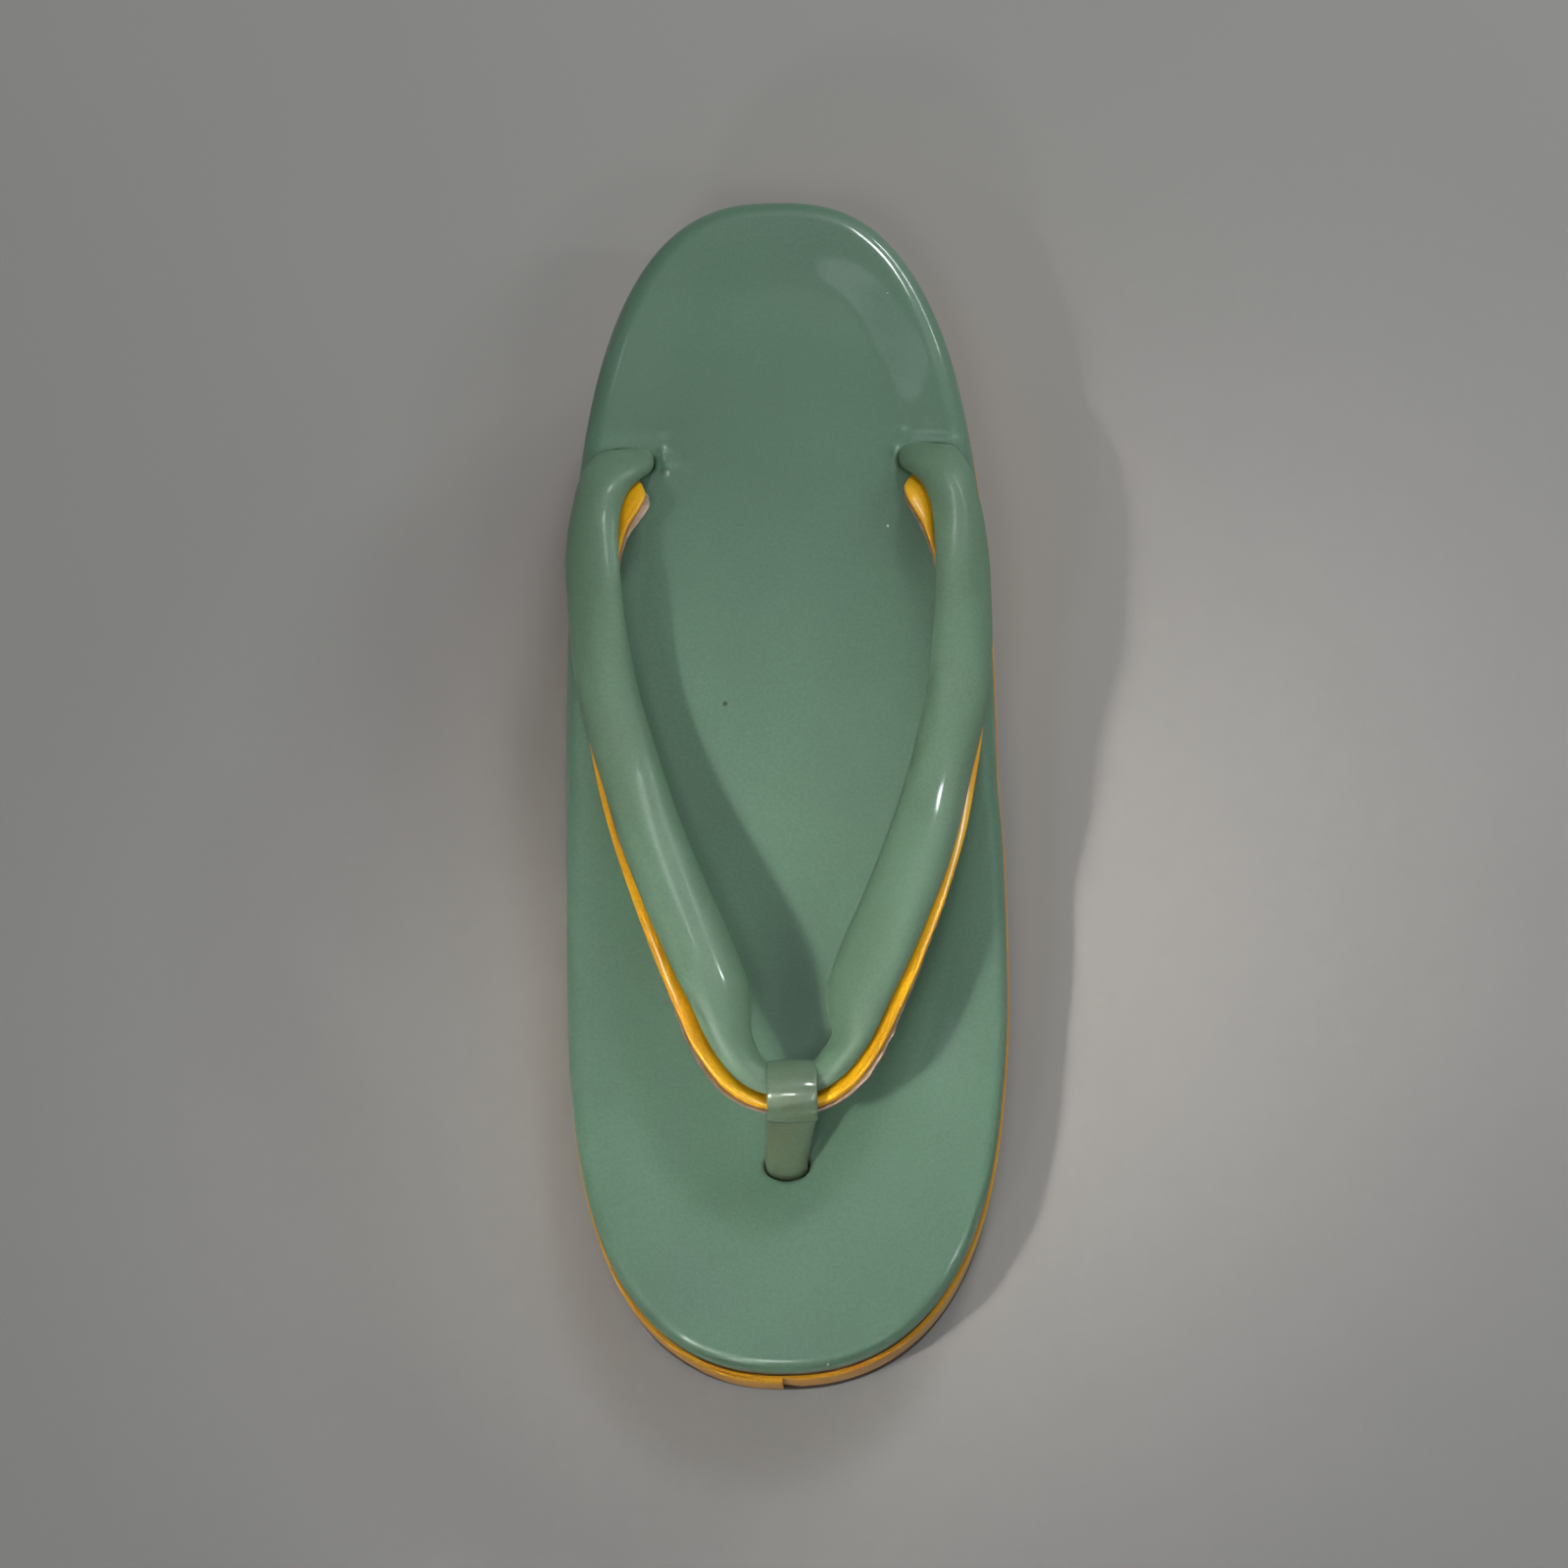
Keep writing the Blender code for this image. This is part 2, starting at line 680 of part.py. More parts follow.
def build():
    """Make every piece of the sandal."""
    for old in list(bpy.data.objects):
        bpy.data.objects.remove(old, do_unlink=True)
    green = add_material("green_vinyl", GREEN_VINYL, GREEN_ROUGHNESS)
    yellow = add_material("yellow_vinyl", YELLOW_VINYL, YELLOW_ROUGHNESS)
    brown = add_material("brown_rubber", BROWN_RUBBER, BROWN_ROUGHNESS)
    cork = add_material("cork_body", CORK_BODY, CORK_ROUGHNESS)

    outsole_solid(brown)
    wedge = wedge_solid(cork)
    wrap_solid(yellow)
    footbed = footbed_solid(green)
    strap_solid(green)
    lining_solid(yellow)
    post_solid(green)

    hole = post_hole()
    for opening in (slot_cutter(1), slot_cutter(-1), hole):
        combine(footbed, opening, "DIFFERENCE")
        combine(wedge, opening, "DIFFERENCE")


build()
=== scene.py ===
"""Looks of a zori sandal: padded vinyl footbed, taped wedge, lined V strap and looped toe post.

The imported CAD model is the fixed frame. Each class below dresses one sub-assembly in the
sandal's own sizes: the toe points along -Y, the heel along +Y and the floor lies at z = 0.
"""

from __future__ import annotations

import json
import logging
import math
from dataclasses import dataclass
from enum import Enum
from typing import Callable, Sequence

import bpy
import numpy as np
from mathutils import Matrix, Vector

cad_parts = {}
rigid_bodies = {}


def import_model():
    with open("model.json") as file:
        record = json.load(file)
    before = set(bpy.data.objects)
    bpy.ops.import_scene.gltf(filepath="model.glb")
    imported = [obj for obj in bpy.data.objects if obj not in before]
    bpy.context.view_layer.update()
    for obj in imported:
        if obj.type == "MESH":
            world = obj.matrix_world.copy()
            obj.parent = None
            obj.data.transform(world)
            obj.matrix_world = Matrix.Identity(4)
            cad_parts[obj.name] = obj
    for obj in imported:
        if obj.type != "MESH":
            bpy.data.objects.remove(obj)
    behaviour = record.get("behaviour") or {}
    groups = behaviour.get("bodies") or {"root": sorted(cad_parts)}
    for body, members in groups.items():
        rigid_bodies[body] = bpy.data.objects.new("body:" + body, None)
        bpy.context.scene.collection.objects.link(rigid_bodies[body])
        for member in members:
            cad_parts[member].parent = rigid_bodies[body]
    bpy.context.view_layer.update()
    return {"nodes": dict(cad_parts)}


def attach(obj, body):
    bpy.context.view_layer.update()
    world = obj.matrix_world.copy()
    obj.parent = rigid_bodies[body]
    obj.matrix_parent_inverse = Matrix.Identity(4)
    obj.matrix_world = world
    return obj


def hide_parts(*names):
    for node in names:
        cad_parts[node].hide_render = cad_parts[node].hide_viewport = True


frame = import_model()

MM = 0.001
BODY = "root"
WELD_GAP = 0.002 * MM
LOG = logging.getLogger("zori")
Array = np.ndarray
Rows = tuple[tuple[float, ...], ...]
Colour = tuple[float, float, float, float]
Place = tuple[float, float, float]
Piece = bpy.types.Object
Socket = bpy.types.NodeSocket


class Slot(Enum):
    """Material slots of the record, handed to each new piece but not used."""

    GREEN = "green_vinyl"
    YELLOW = "yellow_vinyl"
    RUBBER = "brown_rubber"


class Side(Enum):
    """Sides of the sandal, as signs of X."""

    RIGHT = 1
    LEFT = -1


def smooth_step(value: Array | float) -> Array:
    """Soft ramp from 0 to 1 for values from 0 to 1."""
    t = np.clip(value, 0.0, 1.0)
    return t * t * (3 - 2 * t)


def bump_at(value: Array, centre: float, reach: float) -> Array:
    """Bell-shaped bump of height 1 at a centre."""
    return np.exp(-(((value - centre) / reach) ** 2))


def spot_at(
    x: Array, y: Array, centre: tuple[float, float], reach: tuple[float, float], turn: float
) -> Array:
    """Oval bell-shaped spot of height 1 on the plan of the sandal.

    Args:
        x: Places across the sandal.
        y: Places along the sandal.
        centre: Middle of the spot.
        reach: Half widths along the spot's own two axes.
        turn: Turn of the first axis from X, in degrees.

    Returns:
        The height of the spot at each place.
    """
    c, s = math.cos(math.radians(turn)), math.sin(math.radians(turn))
    a = (x - centre[0]) * c + (y - centre[1]) * s
    b = -(x - centre[0]) * s + (y - centre[1]) * c
    return np.exp(-((a / reach[0]) ** 2) - (b / reach[1]) ** 2)


def ripple(x: Array, y: Array, wavelength: float, seed: int) -> Array:
    """Gentle irregular waves of height about 1, the same on every run.

    Args:
        x: First coordinate.
        y: Second coordinate.
        wavelength: Middle wavelength, in the units of the coordinates.
        seed: Picks one set of waves.

    Returns:
        The height of the waves at each place.
    """
    total = np.zeros_like(x)
    waves = 7
    for wave in range(waves):
        angle = 2.4 * wave + 0.7 * seed
        length = wavelength * (0.72 + 0.11 * ((wave * 3 + seed) % waves))
        phase = 1.9 * wave * (seed + 1) + 0.6 * seed
        run = x * math.cos(angle) + y * math.sin(angle)
        total = total + np.sin(2 * math.pi * run / length + phase)
    return total / math.sqrt(waves)


def smooth_table(rows: Sequence[tuple[float, float]], share: Array) -> Array:
    """Value of a two-column table at shares, without overshoot between its rows."""
    keys = np.array([row[0] for row in rows])
    values = np.array([row[1] for row in rows])
    steps = np.diff(values) / np.diff(keys)
    product = steps[:-1] * steps[1:]
    total = steps[:-1] + steps[1:]
    inner = np.where(product > 0, 2 * product / np.where(total == 0, 1, total), 0.0)
    slopes = np.concatenate([steps[:1], inner, steps[-1:]])
    place = np.clip(share, keys[0], keys[-1])
    index = np.clip(np.searchsorted(keys, place, side="right") - 1, 0, len(keys) - 2)
    span = keys[index + 1] - keys[index]
    t = (place - keys[index]) / span
    return (
        values[index] * (1 + 2 * t) * (1 - t) ** 2
        + values[index + 1] * t * t * (3 - 2 * t)
        + span * slopes[index] * t * (1 - t) ** 2
        - span * slopes[index + 1] * t * t * (1 - t)
    )


def column_at(rows: Rows, column: int, share: float) -> float:
    """Metres at a share, from one column of a table in millimetres."""
    return MM * float(smooth_table([(row[0], row[column]) for row in rows], np.array(share)))


def through_rows(rows: Array, substeps: int) -> Array:
    """Samples of the smooth curve through the rows of a table.

    Args:
        rows: One row of numbers for each station.
        substeps: Samples from one row to the next.

    Returns:
        One row of numbers for each sample.
    """
    padded = np.vstack([rows[:1], rows, rows[-1:]])
    samples = []
    for index in range(len(rows) - 1):
        a, b, c, d = padded[index:index + 4]
        for step in range(substeps):
            t = step / substeps
            bend = 2 * a - 5 * b + 4 * c - d
            turn = 3 * (b - c) + d - a
            samples.append(0.5 * (2 * b + (c - a) * t + bend * t * t + turn * t ** 3))
    samples.append(rows[-1])
    return np.array(samples)


def oval(half: float, above: float, below: float, sides: int, power: float) -> Array:
    """Closed oval section with its own height above and below its middle line.

    Args:
        half: Half width.
        above: Height above the middle line.
        below: Depth below the middle line.
        sides: Number of points, the first one repeated at the end.
        power: 2 for an ellipse, more for a boxier section.

    Returns:
        Pairs of across and up.
    """
    angle = np.linspace(0, 2 * math.pi, sides + 1)
    across = np.sign(np.cos(angle)) * np.abs(np.cos(angle)) ** (2 / power)
    up = np.sign(np.sin(angle)) * np.abs(np.sin(angle)) ** (2 / power)
    return np.stack([half * across, np.where(up > 0, above, below) * up], axis=1)


class Modeller:
    """Blender's own modelling operators, in the order that every piece here needs them."""

    @staticmethod
    def select_only(*objects: Piece) -> None:
        """Select these objects alone and make the first one active."""
        for other in bpy.context.view_layer.objects:
            other.select_set(False)
        for piece in objects:
            piece.select_set(True)
        bpy.context.view_layer.objects.active = objects[0]

    @staticmethod
    def grid(name: str, points: Array) -> Piece:
        """Grid primitive shaped to a table of points.

        Args:
            name: Name of the new object.
            points: Places, as rows by columns by three.

        Returns:
            The shaped grid.
        """
        rows, columns = points.shape[:2]
        for other in bpy.context.view_layer.objects:
            other.select_set(False)
        bpy.ops.mesh.primitive_grid_add(x_subdivisions=columns - 1, y_subdivisions=rows - 1, size=1)
        piece = bpy.context.active_object
        piece.name = name
        piece.data.name = name
        piece.data.vertices.foreach_set("co", points.reshape(-1))
        piece.data.update()
        return piece

    @staticmethod
    def close(piece: Piece, others: Sequence[Piece]) -> None:
        """Weld a piece and its other parts to one closed mesh that faces outwards."""
        Modeller.select_only(piece, *others)
        if others:
            bpy.ops.object.join()
        bpy.ops.object.mode_set(mode="EDIT")
        bpy.ops.mesh.select_mode(type="VERT")
        bpy.ops.mesh.select_all(action="SELECT")
        bpy.ops.mesh.remove_doubles(threshold=WELD_GAP)
        bpy.ops.mesh.dissolve_degenerate(threshold=WELD_GAP / 2)
        bpy.ops.mesh.select_all(action="SELECT")
        bpy.ops.mesh.fill_holes(sides=0)
        bpy.ops.mesh.select_all(action="SELECT")
        bpy.ops.mesh.normals_make_consistent(inside=False)
        bpy.ops.object.mode_set(mode="OBJECT")

    @staticmethod
    def make(
        name: str, surfaces: Sequence[Array], material: bpy.types.Material, slot: Slot, node: str,
        crisp: float = 60.0, fill: float | None = None,
    ) -> None:
        """One finished piece, with its material and what it stands for.

        Args:
            name: Name of the piece.
            surfaces: Tables of points, one for each grid that the piece is welded from.
            material: Its material.
            slot: The record's slot that the finish comes from; not used.
            node: CAD node that the piece replaces.
            crisp: Angle in degrees above which an edge stays crisp.
            fill: Fullness of a padded piece, or None for a piece that isn't padded; not used.
        """
        piece, *others = [Modeller.grid(name, points) for points in surfaces]
        Modeller.close(piece, others)
        Modeller.select_only(piece)
        bpy.ops.object.shade_smooth_by_angle(angle=math.radians(crisp))
        piece.data.materials.clear()
        piece.data.materials.append(material)
        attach(piece, BODY)
        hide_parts(node)
        LOG.info("%s: %d faces", piece.name, len(piece.data.polygons))


@dataclass(frozen=True)
class SoleForm:
    """Outline and side view of the sole, as the CAD solids have them."""

    length: float = 240.0 * MM
    ball_width: float = 87.6 * MM
    ball_station: float = 0.40
    toe_power: float = 3.3
    toe_fullness: float = 2.3
    heel_power: float = 3.35
    heel_fullness: float = 2.6
    forefoot_height: float = 23.0 * MM
    heel_height: float = 48.5 * MM
    toe_spring: float = 5.0 * MM
    toe_top_rise: float = 2.0 * MM
    arch_lift: float = 2.5 * MM
    heel_roll: float = 1.5 * MM
    toe_roll_end: float = 0.17
    arch_start: float = 0.42
    arch_end: float = 0.64
    heel_roll_start: float = 0.93
    outsole_thickness: float = 3.0 * MM
    footbed_thickness: float = 8.0 * MM
    wrap_thickness: float = 0.9 * MM
    clearance: float = 0.3 * MM
    undercut: float = math.radians(3.5)
    top_profile: Rows = (
        (0.00, 0.00), (0.24, 0.00), (0.40, 0.115), (0.55, 0.36), (0.70, 0.64), (0.85, 0.89), (1.00, 1.00),
    )
    # Columns in millimetres: y, how far the right side stands out
    fuller_side: Rows = (
        (-122, 0.0), (-105, 0.45), (-90, 0.7), (-62, 1.0), (-45, 1.35), (-30, 1.3), (-14, 1.0),
        (4, 0.0), (130, 0.0),
    )

    def station_y(self, share: float) -> float:
        """Place along Y of a share of the length, counted from the toe."""
        return (share - 0.5) * self.length + self.wrap_thickness / 2

    def share_of(self, y: Array) -> Array:
        """Share of the length at places along Y."""
        return (y - self.wrap_thickness / 2) / self.length + 0.5

    def top_height(self, y: Array) -> Array:
        """Height of the footbed's rim."""
        share = self.share_of(y)
        rise = smooth_table(self.top_profile, share) * (self.heel_height - self.forefoot_height)
        spring = np.maximum(0.0, 1 - share / self.toe_roll_end) ** 2
        return self.forefoot_height + rise + self.toe_top_rise * spring

    def floor_height(self, y: Array) -> Array:
        """Height of the underside."""
        share = self.share_of(y)
        height = self.toe_spring * np.maximum(0.0, 1 - share / self.toe_roll_end) ** 2
        arch = np.clip((share - self.arch_start) / (self.arch_end - self.arch_start), 0, 1)
        height = height + self.arch_lift * np.sin(math.pi * arch) ** 2
        heel = np.maximum(0.0, (share - self.heel_roll_start) / (1 - self.heel_roll_start))
        return height + self.heel_roll * heel ** 2

    def wall_top(self, y: Array) -> Array:
        """Height of the seam between the taped wall and the footbed."""
        return self.top_height(y) - self.footbed_thickness - self.clearance

    def settled(self, points: Array) -> Array:
        """Points of the sole with its right side a little fuller at the ball, as the real one has it."""
        moved = points.copy()
        fuller = smooth_table(self.fuller_side, points[..., 1] / MM) * MM
        moved[..., 0] += fuller * smooth_step(points[..., 0] / (0.6 * self.ball_width / 2))
        return moved

    def edge_gap(self, x: Array, y: Array) -> Array:
        """Rough distance in from the outline, without a kink where toe and heel curves meet."""
        share = self.share_of(y)
        front = share < self.ball_station
        blend = smooth_step((share - self.ball_station + 0.2) / 0.4)
        fullness = self.toe_fullness + (self.heel_fullness - self.toe_fullness) * blend
        power = np.where(front, self.toe_power, self.heel_power)
        run = np.where(front, self.ball_station, 1 - self.ball_station)
        reach = np.minimum(np.abs(share - self.ball_station) / run, 1.0)
        wide = np.minimum(np.abs(x) / (self.ball_width / 2), 1.0)
        level = 1 - wide ** fullness - reach ** power
        across = fullness * wide ** (fullness - 1) / (self.ball_width / 2)
        slope = np.hypot(across, power * reach ** (power - 1) / (run * self.length))
        return level / np.maximum(slope, 1e-3)

    def outline(self, count: int, focus: Sequence[Place] = ()) -> tuple[Array, Array]:
        """Closed outline from the toe tip round the right side.

        Args:
            count: Number of points, an even number.
            focus: Places where the points lie closer: y, reach and gain.

        Returns:
            Points and outward normals.
        """
        fine = 1500
        ball_y = self.station_y(self.ball_station)
        front = self.ball_station * self.length
        toe = np.linspace(0, math.pi / 2, fine, endpoint=False)
        toe_half = np.stack([
            self.ball_width / 2 * np.sin(toe) ** (2 / self.toe_fullness),
            ball_y - front * np.cos(toe) ** (2 / self.toe_power),
        ], axis=1)
        heel = np.linspace(math.pi / 2, 0, fine + 1)
        heel_half = np.stack([
            self.ball_width / 2 * np.abs(np.sin(heel)) ** (2 / self.heel_fullness),
            ball_y + (self.length - front) * np.abs(np.cos(heel)) ** (2 / self.heel_power),
        ], axis=1)
        half = np.vstack([toe_half, heel_half])
        run = np.linalg.norm(np.diff(half, axis=0), axis=1)
        middle = (half[1:, 1] + half[:-1, 1]) / 2
        weight = np.ones_like(run)
        for y, reach, gain in focus:
            weight = weight + gain * bump_at(middle, y, reach)
        total = np.concatenate([[0], np.cumsum(run * weight)])
        stops = np.linspace(0, total[-1], count // 2 + 1)
        right = np.stack([np.interp(stops, total, half[:, axis]) for axis in (0, 1)], axis=1)
        right[[0, -1], 0] = 0.0
        left = right[-2:0:-1] * np.array([-1.0, 1.0])
        points = np.vstack([right, left])
        along = np.roll(points, -1, axis=0) - np.roll(points, 1, axis=0)
        normals = np.stack([along[:, 1], -along[:, 0]], axis=1)
        return points, normals / np.linalg.norm(normals, axis=1)[:, None]


SOLE = SoleForm()


def rungs(ring: Array, shares: Array) -> Array:
    """Rows of points from the right to the left side of a mirrored ring.

    Args:
        ring: Closed ring of points that starts at the toe tip, without a repeated point.
        shares: Places across, from 0 at the right to 1 at the left.

    Returns:
        Rows by shares by three.
    """
    count = len(ring)
    right = ring[: count // 2 + 1]
    left = ring[(-np.arange(count // 2 + 1)) % count]
    return right[:, None, :] * (1 - shares)[None, :, None] + left[:, None, :] * shares[None, :, None]


class Graph:
    """Shader nodes of one material or node group, added and linked in short calls."""

    def __init__(self, tree: bpy.types.NodeTree) -> None:
        """Start on an empty tree."""
        self.tree = tree

    def add(self, kind: str, values: dict | None = None, **settings: object) -> bpy.types.Node:
        """New node.

        Args:
            kind: Blender's type of the node, without its ShaderNode prefix.
            values: Socket values or linked sockets by name or number.
            settings: Properties of the node.

        Returns:
            The node.
        """
        node = self.tree.nodes.new(kind if kind.startswith("NodeGroup") else "ShaderNode" + kind)
        for name, value in settings.items():
            setattr(node, name, value)
        for key, value in (values or {}).items():
            if isinstance(value, Socket):
                self.tree.links.new(value, node.inputs[key])
            else:
                node.inputs[key].default_value = value
        return node

    def math(self, operation: str, a: object, b: object = 0.0, c: object = 0.0) -> Socket:
        """Result of a Math node."""
        return self.add("Math", {0: a, 1: b, 2: c}, operation=operation).outputs[0]

    def noise(self, place: object, scale: object, detail: float = 2.0, rough: float = 0.5) -> Socket:
        """Factor of a Noise node at a place."""
        values = {"Vector": place, "Scale": scale, "Detail": detail, "Roughness": rough}
        return self.add("TexNoise", values).outputs["Fac"]

    def ramp(
        self, value: object, low: object, high: object, to_low: object = 0.0, to_high: object = 1.0
    ) -> Socket:
        """Soft ramp of a value between two limits."""
        values = {"Value": value, "From Min": low, "From Max": high, "To Min": to_low, "To Max": to_high}
        return self.add("MapRange", values, interpolation_type="SMOOTHSTEP").outputs["Result"]

    def mix(self, factor: object, a: object, b: object, blend: str = "MIX") -> Socket:
        """Mix of two colours."""
        node = self.add("Mix", {0: factor, 6: a, 7: b}, data_type="RGBA", blend_type=blend)
        return node.outputs[2]

    def place(self) -> Socket:
        """Object coordinates."""
        return self.add("TexCoord").outputs["Object"]

    def away(self, place: Socket, x: float, y: float) -> Socket:
        """Distance in plan from a point given in millimetres."""
        flat = self.add("VectorMath", {0: place, 1: (1.0, 1.0, 0.0)}, operation="MULTIPLY").outputs[0]
        values = {0: flat, 1: (x * MM, y * MM, 0.0)}
        return self.add("VectorMath", values, operation="DISTANCE").outputs["Value"]

    def link(self, shader: bpy.types.Node, height: Socket, **sockets: Socket) -> None:
        """Link a height in millimetres as the shader's normal, and other sockets by input name."""
        bump = self.add("Bump", {"Strength": 1.0, "Distance": MM, "Height": height})
        sockets["Normal"] = bump.outputs["Normal"]
        for label, socket in sockets.items():
            self.tree.links.new(socket, shader.inputs[label.replace("_", " ")])


class SharedGroups:
    """Node groups that more than one finish uses, each built once."""

    _made: dict[str, bpy.types.NodeTree] = {}

    @classmethod
    def _new(cls, name: str, inputs: Sequence[tuple[str, str]], outputs: Sequence[tuple[str, str]]) -> Graph:
        """Empty group with its sockets, as pairs of name and socket type."""
        tree = bpy.data.node_groups.new(name, "ShaderNodeTree")
        for label, kind in inputs:
            tree.interface.new_socket(label, in_out="INPUT", socket_type="NodeSocket" + kind)
        for label, kind in outputs:
            tree.interface.new_socket(label, in_out="OUTPUT", socket_type="NodeSocket" + kind)
        cls._made[name] = tree
        return Graph(tree)

    @classmethod
    def sheet_surface(cls) -> bpy.types.NodeTree:
        """Calendered sheet: colour mottle, uneven gloss and a fine grain over soft waves.

        Returns:
            A group that puts out a colour, a roughness and a height in millimetres.
        """
        name = "sheet_surface"
        if name in cls._made:
            return cls._made[name]
        inputs = (
            ("Colour", "Color"), ("Mottle Colour", "Color"), ("Mottle Scale", "Float"),
            ("Roughness", "Float"), ("Roughness Spread", "Float"),
            ("Grain Scale", "Float"), ("Grain Depth", "Float"),
            ("Wave Scale", "Float"), ("Wave Depth", "Float"),
        )
        outputs = (("Colour", "Color"), ("Roughness", "Float"), ("Height", "Float"))
        graph = cls._new(name, inputs, outputs)
        given = graph.add("NodeGroupInput").outputs
        place = graph.place()
        patches = graph.ramp(graph.noise(place, given["Mottle Scale"], 3.0), 0.34, 0.68)
        speckle = graph.noise(place, given["Grain Scale"], 2.0, 0.6)
        shade = graph.ramp(speckle, 0.25, 0.75, 0.93, 1.07)
        colour = graph.mix(patches, given["Colour"], given["Mottle Colour"])
        grey = graph.add("CombineColor", {0: shade, 1: shade, 2: shade}).outputs[0]
        colour = graph.mix(1.0, colour, grey, "MULTIPLY")
        haze = graph.noise(place, graph.math("MULTIPLY", given["Mottle Scale"], 2.3), 4.0, 0.6)
        uneven = graph.math("MULTIPLY", graph.math("SUBTRACT", haze, 0.5), given["Roughness Spread"])
        rough = graph.math("ADD", given["Roughness"], uneven)
        wave = graph.math("MULTIPLY", graph.noise(place, given["Wave Scale"], 1.0), given["Wave Depth"])
        grain = graph.math("MULTIPLY", speckle, given["Grain Depth"])
        height = graph.math("ADD", wave, grain)
        graph.add("NodeGroupOutput", {"Colour": colour, "Roughness": rough, "Height": height})
        return cls._made[name]


@dataclass(frozen=True)
class VinylFinish:
    """Glossy calendered vinyl under a clear skin that can be cloudy, rubbed bright or specked."""

    name: str
    colour: Colour
    mottle: Colour
    roughness: float
    spread: float
    coat: float
    coat_roughness: float
    mottle_scale: float = 26.0
    grain_scale: float = 1500.0
    grain_depth: float = 0.006
    wave_scale: float = 95.0
    wave_depth: float = 0.05
    specular: float = 0.5
    # Scale and detail of the clouds, then where they start and end and the coat's share at both
    clouds: tuple[float, ...] = ()
    # Columns in millimetres: x, y and radius of a place rubbed bright
    polish: Rows = ()
    # Columns in millimetres: x, y and radius of a speck, then its lightness
    specks: Rows = ()
    speck_blur: float = 900.0
    speck_height: float = 0.08
    raised_lightness: float = 0.3

    def material(self) -> bpy.types.Material:
        """Material of this vinyl."""
        material, graph, shader = new_material(self.name)
        sheet = graph.add("Group", node_tree=SharedGroups.sheet_surface())
        values = {
            "Colour": self.colour, "Mottle Colour": self.mottle, "Mottle Scale": self.mottle_scale,
            "Roughness": self.roughness, "Roughness Spread": self.spread,
            "Grain Scale": self.grain_scale, "Grain Depth": self.grain_depth,
            "Wave Scale": self.wave_scale, "Wave Depth": self.wave_depth,
        }
        for label, value in values.items():
            sheet.inputs[label].default_value = value
        place = graph.place()
        colour, height = self.marked(graph, place, sheet.outputs["Colour"], sheet.outputs["Height"])
        graph.link(shader, height, Base_Color=colour, Roughness=sheet.outputs["Roughness"])
        shader.inputs["Specular IOR Level"].default_value = self.specular
        shader.inputs["Coat Weight"].default_value = self.coat
        shader.inputs["Coat Roughness"].default_value = self.coat_roughness
        if self.clouds:
            graph.tree.links.new(self.gloss(graph, place), shader.inputs["Coat Weight"])
        return material

    def gloss(self, graph: Graph, place: Socket) -> Socket:
        """Weight of the clear skin, cloudy and full where it is rubbed bright."""
        scale, detail, start, end, least, most = self.clouds
        noise = graph.noise(place, scale, detail)
        total = graph.ramp(noise, start, end, self.coat * least, self.coat * most)
        for x, y, radius in self.polish:
            patch = graph.ramp(graph.away(place, x, y), radius * 0.6 * MM, radius * 1.3 * MM, 1.0, 0.0)
            total = graph.math("MAXIMUM", total, patch)
        return total

    def marked(
        self, graph: Graph, place: Socket, colour: Socket, height: Socket
    ) -> tuple[Socket, Socket]:
        """Specks on the sheet, light ones a little raised.

        Args:
            graph: Nodes of the material.
            place: Object coordinates.
            colour: Colour so far.
            height: Height so far.

        Returns:
            Colour and height with the specks.
        """
        blur = graph.noise(place, self.speck_blur)
        for x, y, radius, light in self.specks:
            ragged = graph.math("MULTIPLY_ADD", blur, radius * MM, graph.away(place, x, y))
            mask = graph.ramp(ragged, radius * 0.9 * MM, radius * 1.6 * MM, 1.0, 0.0)
            colour = graph.mix(mask, colour, (light, light, light * 0.95, 1.0))
            if light > self.raised_lightness:
                height = graph.math("MULTIPLY_ADD", mask, self.speck_height, height)
        return colour, height


@dataclass(frozen=True)
class PlainFinish:
    """Dull material of two colours, told apart by its own noise."""

    name: str
    first: Colour
    second: Colour

    def nodes(self, graph: Graph, shader: bpy.types.Node, place: Socket) -> tuple[Socket, Socket]:
        """Mask between the two colours and height in millimetres."""
        raise NotImplementedError

    def material(self) -> bpy.types.Material:
        """Material of this finish."""
        material, graph, shader = new_material(self.name)
        mask, height = self.nodes(graph, shader, graph.place())
        graph.link(shader, height, Base_Color=graph.mix(mask, self.first, self.second))
        return material


@dataclass(frozen=True)
class ClothFinish(PlainFinish):
    """Raw fluffy cloth backing, stained in places."""

    name: str = "raw_cloth"
    first: Colour = (0.46, 0.34, 0.25, 1.0)
    second: Colour = (0.30, 0.20, 0.12, 1.0)
    stain_scale: float = 260.0
    fuzz_scale: float = 2600.0
    fuzz_height: float = 0.25
    sheen: float = 0.25

    def nodes(self, graph: Graph, shader: bpy.types.Node, place: Socket) -> tuple[Socket, Socket]:
        """Stains and fuzz."""
        stain = graph.ramp(graph.noise(place, self.stain_scale, 3.0), 0.4, 0.7)
        fuzz = graph.noise(place, self.fuzz_scale, 3.0, 0.7)
        graph.tree.links.new(graph.ramp(fuzz, 0.2, 0.8, 0.8, 0.95), shader.inputs["Roughness"])
        shader.inputs["Sheen Weight"].default_value = self.sheen
        return stain, graph.math("MULTIPLY", fuzz, self.fuzz_height)


